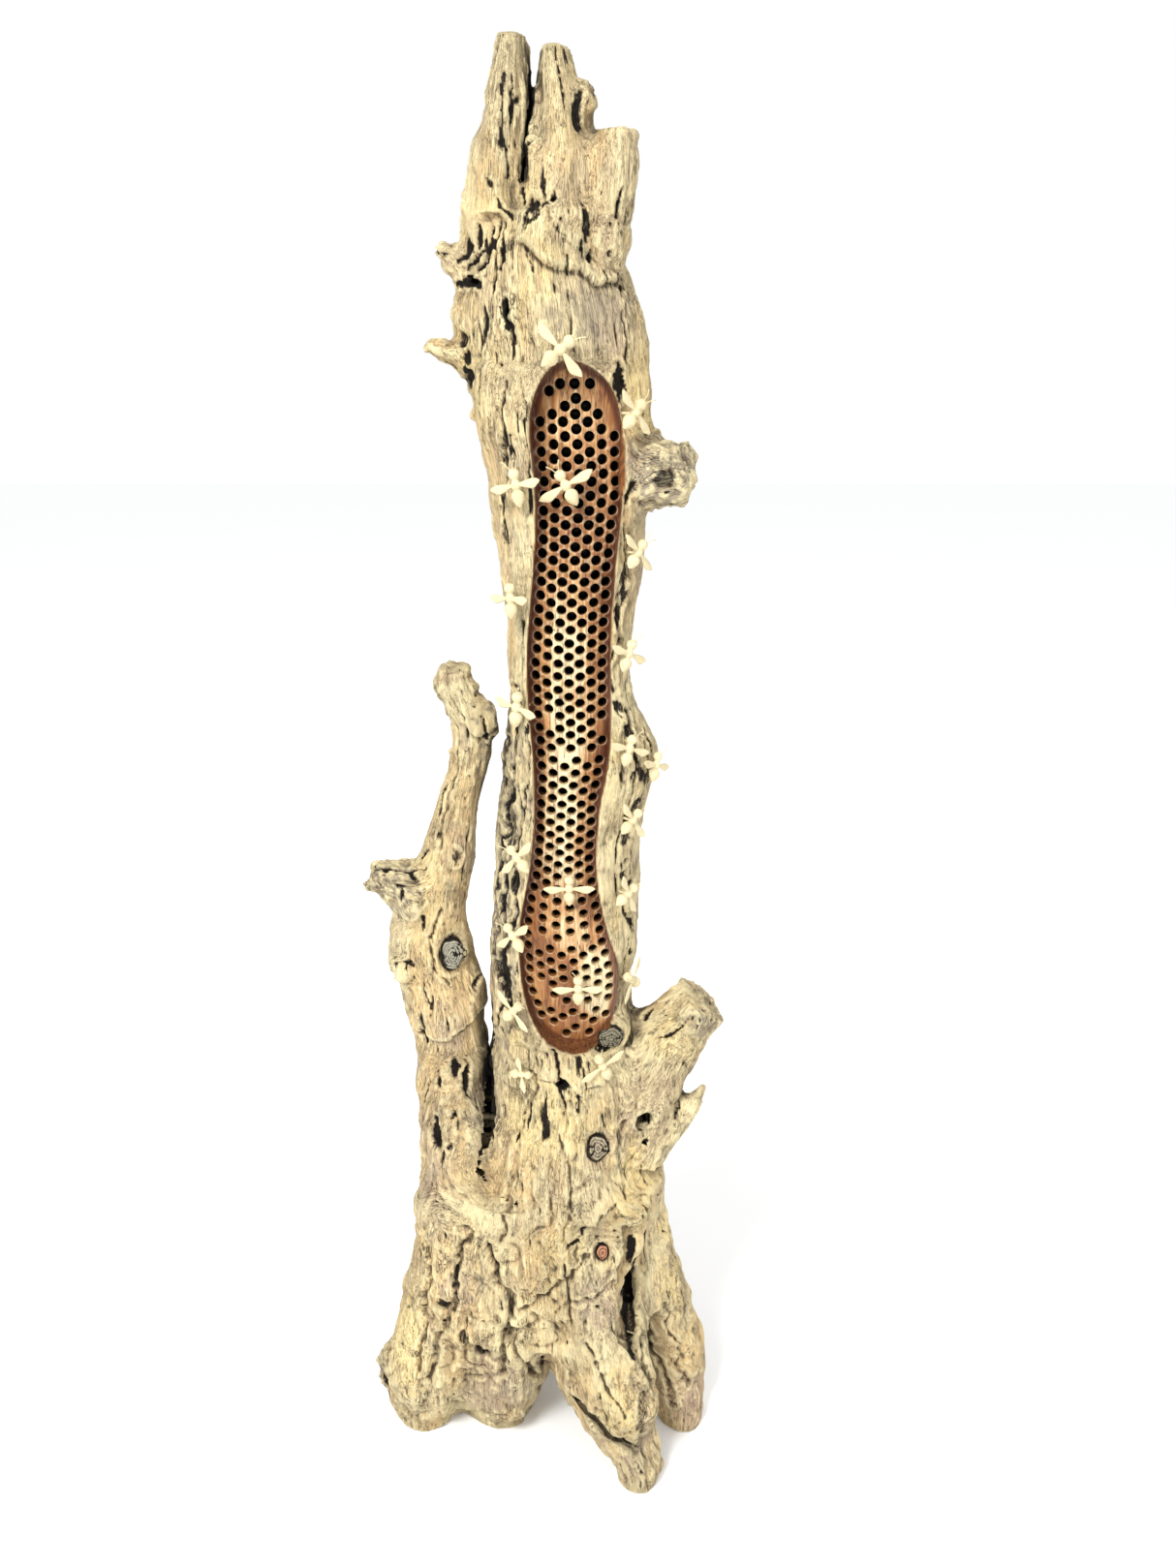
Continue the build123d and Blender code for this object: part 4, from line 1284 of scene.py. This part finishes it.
    # sides and back
    border = [new_of[k] for k in range(count)]
    back = np.stack((loop[:, 0], np.full(count, CORE_BACK), loop[:, 1]), 1)
    more_places.append(back)
    more_depth.append(np.zeros(count))
    rear = list(range(total, total + count))
    faces += band(rear, border)
    total += count
    more_places.append(np.array([BACK_MIDDLE]))
    more_depth.append(np.zeros(1))
    faces += fan(rear[::-1], total)
    places = np.vstack([places] + more_places)
    depth_share = np.concatenate([depth_share] + more_depth)
    return places, faces, depth_share


core_places, core_faces, core_depth = nest_core()
core_x, core_z = core_places[:, 0], core_places[:, 2]
core_middle = np.interp(core_z, NEST_FACE[:, 0], NEST_FACE[:, 1])
# painted light: the face is painted pale in a band down its middle, on the bulge low on the right, at the
# top and on a patch low down
core_band = ramp(np.abs(core_x - core_middle + 4), 34, 8) * ramp(core_z, 1130, 1000) * ramp(core_z, 700, 790)
core_bulge = ramp(np.hypot((core_x - 66) / 24, (core_z - 640) / 52), 1.1, 0.6)
core_top = 0.4 * ramp(core_z, 1120, 1200) * ramp(np.abs(core_x - core_middle), 40, 15)
core_low = 0.55 * ramp(np.hypot((core_x - 40) / 26, (core_z - 700) / 36), 1.2, 0.4)
core_attributes = {
    "depth": core_depth,
    "pale": np.clip(np.maximum.reduce((0.8 * core_band, core_bulge, core_top, core_low)), 0, 1),
    # rim: painted shade, darker towards the niche walls
    "rim": ramp(beyond(niche_loop, core_places[:, [0, 2]]), -11, -2),
}
new_piece("nest_core", core_places, core_faces, heart_wood(), "heartwood", core_attributes)

# ------------------------------------------------------------------------------------------------
# Dead knots and the plug
# ------------------------------------------------------------------------------------------------
KNOT_SIDES = 56
KNOT_RINGS = 16
KNOT_DEPTH = 14
KNOT_PROUD = 2.7


def knot_piece(name, x, z, wide, high, checks, dome, material, slot):
    """A knot: a ringed, cracked face toward -Y that follows the wood round it, and a plain body behind."""
    number = sum(map(ord, name))
    angle = 2 * np.pi * np.arange(KNOT_SIDES) / KNOT_SIDES
    outline = 1 + 0.07 * np.sin(3 * angle + number) + 0.05 * np.sin(5 * angle + 2 * number)
    radius = (wide + high) / 2
    near = np.hypot((moved[:, 0] - x) / (wide * 1.5), (moved[:, 2] - z) / (high * 1.5)) < 1
    near &= (facing[:, 1] < -0.3) & (routed < 0.1)
    east, north = moved[near][:, 0] - x, moved[near][:, 2] - z
    terms = np.stack((east, north, east ** 2, np.ones(near.sum())), 1)
    bed = np.linalg.lstsq(terms, moved[near, 1], rcond=None)[0]
    bed[:2] = np.clip(bed[:2], -0.25, 0.25)
    bed[2] = np.clip(bed[2], 0, 0.013)
    y = bed[3] - KNOT_PROUD

    def ring(reach):
        """A ring of places that lies as the wood round the knot does."""
        east, north = reach * np.cos(angle) * wide / radius, reach * np.sin(angle) * high / radius
        front_y = y + bed[0] * east + bed[1] * north + bed[2] * east ** 2
        return np.stack((x + east, front_y, z + north), 1)

    places, hollow = [(x, y, z)], [0.4]
    for rank in range(1, KNOT_RINGS + 1):
        share = rank / KNOT_RINGS
        spot = ring(radius * share * (outline * share + 1 - share))
        ringed = np.sin(share * radius * 1.9 + 4 * noise(spot / 7, number)) * 0.35
        spokes = np.stack((np.full(KNOT_SIDES, share * 1.5), np.cos(angle) * 3, np.sin(angle) * 3), 1)
        check = ramp(np.abs(noise(spokes, number + 1)), 0.10, 0.02) * checks * ramp(share, 0.15, 0.4)
        edge = ramp(share, 0.86, 1.0)
        rough = noise(spot / 4, number) * 0.7
        spot[:, 1] -= dome * (1 - share ** 2) + ringed - 1.6 * check - 2.2 * edge + rough
        places += spot.tolist()
        # hollow is painted shade: darker in the ring grooves, the checks and the sunken edge
        hollow += (0.36 - 0.9 * ringed + check + 0.4 * edge).tolist()
    for share, behind in ((1.0, 4), (0.98, KNOT_DEPTH)):
        spot = ring(radius * outline * share)
        spot[:, 1] += behind
        places += spot.tolist()
        hollow += [1.0] * KNOT_SIDES
    places.append((x, y + KNOT_DEPTH, z))
    hollow.append(1.0)
    rings = [list(range(first, first + KNOT_SIDES)) for first in range(1, len(places) - 1, KNOT_SIDES)]
    faces = fan(rings[0], 0)
    for here, there in zip(rings, rings[1:]):
        faces += band(there, here)
    faces += fan(rings[-1][::-1], len(places) - 1)
    places = np.array(places)
    attributes = {"hollow": hollow, "along": places - np.array((x, y, z))}
    new_piece(name, places, faces, material, slot, attributes)


# (how open its cracks are, dome, material, light tone, dark tone, slot) of each of the KNOTS
KNOT_LOOKS = [
    (0.8, 1.5, "dead_knot", (0.37, 0.33, 0.23), (0.16, 0.14, 0.095), "dead_knot"),
    (0.4, 1.0, "pale_knot", (0.56, 0.53, 0.41), (0.27, 0.25, 0.19), "dead_knot"),
    (1.0, 1.0, "brown_knot", (0.62, 0.53, 0.36), (0.25, 0.20, 0.13), "dead_knot"),
    (0.1, 1.2, "red_plug", (0.72, 0.36, 0.21), (0.42, 0.18, 0.10), "heartwood"),
]
for knot, (checks, dome, wood_name, light, dark, slot) in zip(KNOTS, KNOT_LOOKS):
    knot_piece(*knot, checks, dome, dead_wood(wood_name, light, dark), slot)

# ------------------------------------------------------------------------------------------------
# Bees
# ------------------------------------------------------------------------------------------------
# the trunk's sections where bees sit: (height, left, right, front, back)
STEM = np.array([
    (450, -56, 128, -92, 82), (540, -52, 113, -85, 75), (640, -50, 107, -80, 70), (731, -44, 111, -78, 68),
    (832, -37, 118, -77, 66), (885, -36, 131, -77, 65), (930, -30, 112, -77, 64), (1049, -29, 111, -78, 63),
    (1140, -40, 116, -78, 62), (1230, -57, 114, -77, 60), (1310, -65, 106, -74, 56),
], float)
BEE_LIFT = 10.0
HEAD_RADIUS = 5.2
PEG_RADIUS = 1.3
PEG_LENGTH = 19.0
RINGED_BEES = (1, 3, 13, 20)


def bee_frame(z, x, heading, on_nest):
    """Origin in the thorax, and the directions to the right, to the head and away from the wood."""
    if on_nest:
        depth, slope = nest_face(x, z)
        normal = Vector((slope, -1, 0)).normalized()
        foot = Vector((x, depth, z))
    else:
        left, right, face_front, back = (np.interp(z, STEM[:, 0], STEM[:, k]) for k in range(1, 5))
        half_x, half_y = (right - left) / 2, (back - face_front) / 2
        across = max(-0.96, min(0.96, (x - (left + right) / 2) / (half_x + BEE_LIFT)))
        forward = (1 - across ** 2) ** 0.5
        normal = Vector((across / half_x, -forward / half_y, 0)).normalized()
        foot = Vector(((left + right) / 2 + half_x * across, (face_front + back) / 2 - half_y * forward, z))
    side = Vector((0, 0, 1)).cross(normal)
    lean = math.radians(heading)
    head = Vector((0, 0, 1)) * math.cos(lean) + side * math.sin(lean)
    return np.array(foot + normal * BEE_LIFT), np.array((head.cross(normal), head, normal))


def body_profile(size, ringed):
    """(along, radius) of head, thorax and abdomen, from the tip of the abdomen to the face."""
    abdomen = [(-19, 0), (-18.4, 1.0), (-17.2, 2.2), (-15.4, 3.6), (-13.4, 4.8), (-11.4, 5.7), (-9.4, 6.2),
               (-7.6, 6.1), (-6.0, 5.5), (-4.8, 4.5), (-3.8, 3.3)]
    if ringed:
        fine = []
        for along in np.arange(-17.6, -5.0, 0.45):
            radius = np.interp(along, [a for a, _ in abdomen], [r for _, r in abdomen])
            fine.append((along, radius - 0.45 * max(0.0, math.cos(2 * math.pi * along / 2.7)) ** 6))
        abdomen = abdomen[:2] + fine + abdomen[-2:]
    thorax = [(-3.2, 2.7), (-2.6, 3.4), (-1.4, 4.2), (0.2, 4.6), (2.2, 4.55), (3.8, 4.0), (5.0, 3.2),
              (5.9, 2.6)]
    head = []
    for step in range(1, 11):
        angle = math.pi * (0.17 + 0.83 * step / 10)
        head.append((10.8 - HEAD_RADIUS * math.cos(angle), HEAD_RADIUS * math.sin(angle)))
    profile = abdomen + thorax + head
    profile[-1] = (profile[-1][0], 0)
    return [(along * size, radius * size) for along, radius in profile]


WING_STATIONS = 26
WING_RIBS = 11


def wing_part(size, hand, place, number):
    """A leaf-shaped wing that is thin at its edges, with raised veins along it."""
    u = np.linspace(0, 1, WING_STATIONS)
    lead = np.interp(u, (0, 0.3, 0.65, 0.86, 1.0), (2.0, 3.6, 4.6, 3.8, 1.4))
    trail = np.interp(u, (0, 0.17, 0.38, 0.62, 0.76, 0.84, 0.93, 1.0),
                      (-0.2, -0.8, -2.9, -4.8, -3.9, -2.0, -0.8, 1.3))
    for edge in (lead, trail):
        edge[1:-1] = (edge[:-2] + 2 * edge[1:-1] + edge[2:]) / 4
    w = np.linspace(0, 1, WING_RIBS)
    along = np.repeat(1.4 + 26.2 * u[:, None], WING_RIBS, 1)
    across = trail[:, None] + (lead - trail)[:, None] * w
    tapered = np.clip(np.minimum(u / 0.05, (1 - u) / 0.06), 0, 1)
    bell = np.clip(4 * w * (1 - w), 0, 1) ** 0.5 * tapered[:, None]
    vein = sum(np.exp(-((w - rib) / 0.045) ** 2) for rib in (0.22, 0.42, 0.62, 0.82))
    curl = 1.6 * np.sin(number * 2.4 + hand) * u[:, None] ** 2 - 1.6 * (w - 0.5) ** 2
    middle = 2.0 + curl
    top = middle + (0.5 + 0.18 * vein) * bell
    bottom = middle - 0.45 * bell
    upper = np.stack((hand * along, across, top), 2).reshape(-1, 3) * size
    lower = np.stack((hand * along, across, bottom), 2)[1:-1, 1:-1].reshape(-1, 3) * size

    def under(i, j):
        if i in (0, WING_STATIONS - 1) or j in (0, WING_RIBS - 1):
            return i * WING_RIBS + j
        return WING_STATIONS * WING_RIBS + (i - 1) * (WING_RIBS - 2) + j - 1

    faces = []
    for i in range(WING_STATIONS - 1):
        for j in range(WING_RIBS - 1):
            square = [(i, j), (i + 1, j), (i + 1, j + 1), (i, j + 1)]
            face = [a * WING_RIBS + b for a, b in square]
            other = [under(a, b) for a, b in reversed(square)]
            if hand < 0:
                face.reverse()
                other.reverse()
            faces += [face, other]
    return place(np.vstack((upper, lower))), faces


FEELER_SIDES = 8
FEELER_RINGS = 9
FEELER_CURVE = ((1.6, 14.0, 2.6), (3.0, 20.0, 6.0), (6.5, 23.0, 5.5))
FEELER_RADIUS = 0.42
FEELER_KNOB = 0.55


def antenna_part(size, hand, place):
    """One feeler, curved outward, a little thicker at its end."""
    t = np.linspace(0, 1, FEELER_RINGS)[:, None]
    start, knee, end = np.array(FEELER_CURVE) * (hand, 1, 1)
    line = (1 - t) ** 2 * start + 2 * t * (1 - t) * knee + t ** 2 * end
    places = []
    for k, spot in enumerate(line):
        ahead = line[min(k + 1, FEELER_RINGS - 1)] - line[max(k - 1, 0)]
        ahead /= np.linalg.norm(ahead)
        one = np.cross(ahead, (0, 0, 1))
        one /= np.linalg.norm(one)
        two = np.cross(ahead, one)
        radius = FEELER_RADIUS if k < FEELER_RINGS - 2 else FEELER_KNOB
        for side in range(FEELER_SIDES):
            angle = 2 * math.pi * side / FEELER_SIDES
            places.append(spot + radius * (math.cos(angle) * one + math.sin(angle) * two))
    rings = np.arange(len(places)).reshape(FEELER_RINGS, FEELER_SIDES).tolist()
    faces = [face for here, there in zip(rings, rings[1:]) for face in band(here, there)]
    faces += [rings[0][::-1], rings[-1]]
    return place(np.array(places) * size), faces


def peg_part(place):
    """The round peg under a bee, with eased ends."""
    low, high = 1.0 - PEG_LENGTH, 1.0
    profile = [(low, 0), (low, PEG_RADIUS * 0.8), (low + 0.4, PEG_RADIUS), (high - 0.4, PEG_RADIUS),
               (high, PEG_RADIUS * 0.8), (high, 0)]

    def stand(places):
        return place(places[:, [0, 2, 1]] * np.array((1, -1, 1)))

    return revolved(profile, 14, stand)


carved = plain_wood("carved_wood", (0.68, 0.59, 0.36), (0.54, 0.43, 0.24), 1.1, 0.6)
left_wings, right_wings, antennae, pegs = [], [], [], []
for number, (z, x, heading, size, on_nest) in enumerate(BEES, 1):
    origin, axes = bee_frame(z, x, heading, on_nest)

    def place(local, origin=origin, axes=axes):
        return origin + local @ axes

    profile = body_profile(size, number in RINGED_BEES)
    body, body_faces = revolved(profile, 28, place, 0.03, number)
    own = (body - origin) @ axes.T
    new_piece(f"bee_{number:02d}", body, body_faces, carved, "carved_wood", {"along": own + 40 * number})
    left_wings.append(wing_part(size, -1, place, number))
    right_wings.append(wing_part(size, 1, place, number))
    antennae += [antenna_part(size, hand, place) for hand in (-1, 1)]
    pegs.append(peg_part(place))
for name, parts in (("bee_wings_left", left_wings), ("bee_wings_right", right_wings),
                    ("bee_antennae", antennae), ("bee_pegs", pegs)):
    places, faces = gather(parts)
    new_piece(name, places, faces, carved, "carved_wood", {"along": places})

# ------------------------------------------------------------------------------------------------
# Stage, lights and camera
# ------------------------------------------------------------------------------------------------
FLOOR_REACH = 14.0
FLOOR_HEIGHT = -0.0005
floor_mesh = bpy.data.meshes.new("floor")
floor_signs = ((-1, -1), (1, -1), (1, 1), (-1, 1))
floor_corners = [(FLOOR_REACH * x, FLOOR_REACH * y, FLOOR_HEIGHT) for x, y in floor_signs]
floor_mesh.from_pydata(floor_corners, [], [(0, 1, 2, 3)])
floor = bpy.data.objects.new("floor", floor_mesh)
bpy.context.scene.collection.objects.link(floor)
floor_paint = Paint("floor")
floor_tone = floor_paint.noise(floor_paint.place(), 1.4, 2.0, 0.5, 0.0)
floor_colour = floor_paint.mix(floor_tone, (0.965, 0.97, 0.975), (0.975, 0.98, 0.985))
floor_mesh.materials.append(floor_paint.finish(floor_colour, floor_tone, 0.01, 0.9, 0.0))

world = bpy.data.worlds.new("studio")
world.use_nodes = True
world.node_tree.nodes["Background"].inputs["Color"].default_value = (1.0, 1.0, 1.0, 1)
world.node_tree.nodes["Background"].inputs["Strength"].default_value = 1.0
bpy.context.scene.world = world


def soft_light(name, spot, aim, width, power):
    """A square studio softbox that looks at a point."""
    data = bpy.data.lights.new(name, "AREA")
    data.shape = "SQUARE"
    data.size = width
    data.energy = power
    light = bpy.data.objects.new(name, data)
    light.location = spot
    light.rotation_euler = (Vector(aim) - Vector(spot)).to_track_quat("-Z", "Y").to_euler()
    bpy.context.scene.collection.objects.link(light)


soft_light("key", (-1.2, -2.1, 3.2), (0, 0, 0.8), 0.9, 122)
soft_light("fill", (1.9, -2.0, 1.5), (0, 0, 0.7), 1.4, 16)

CAMERA_PLACE = (0.057, -1.180, 1.250)
CAMERA_DOWN = math.radians(19)
SENSOR = 36.0
LENS = 27.038913
camera_data = bpy.data.cameras.new("camera")
camera_data.sensor_width = SENSOR
camera_data.lens = LENS
camera_data.clip_end = 60.0
camera = bpy.data.objects.new("camera", camera_data)
camera.location = CAMERA_PLACE
camera.rotation_euler = (math.pi / 2 - CAMERA_DOWN, 0, 0)
bpy.context.scene.collection.objects.link(camera)
bpy.context.scene.camera = camera
bpy.context.scene.view_settings.view_transform = "Standard"
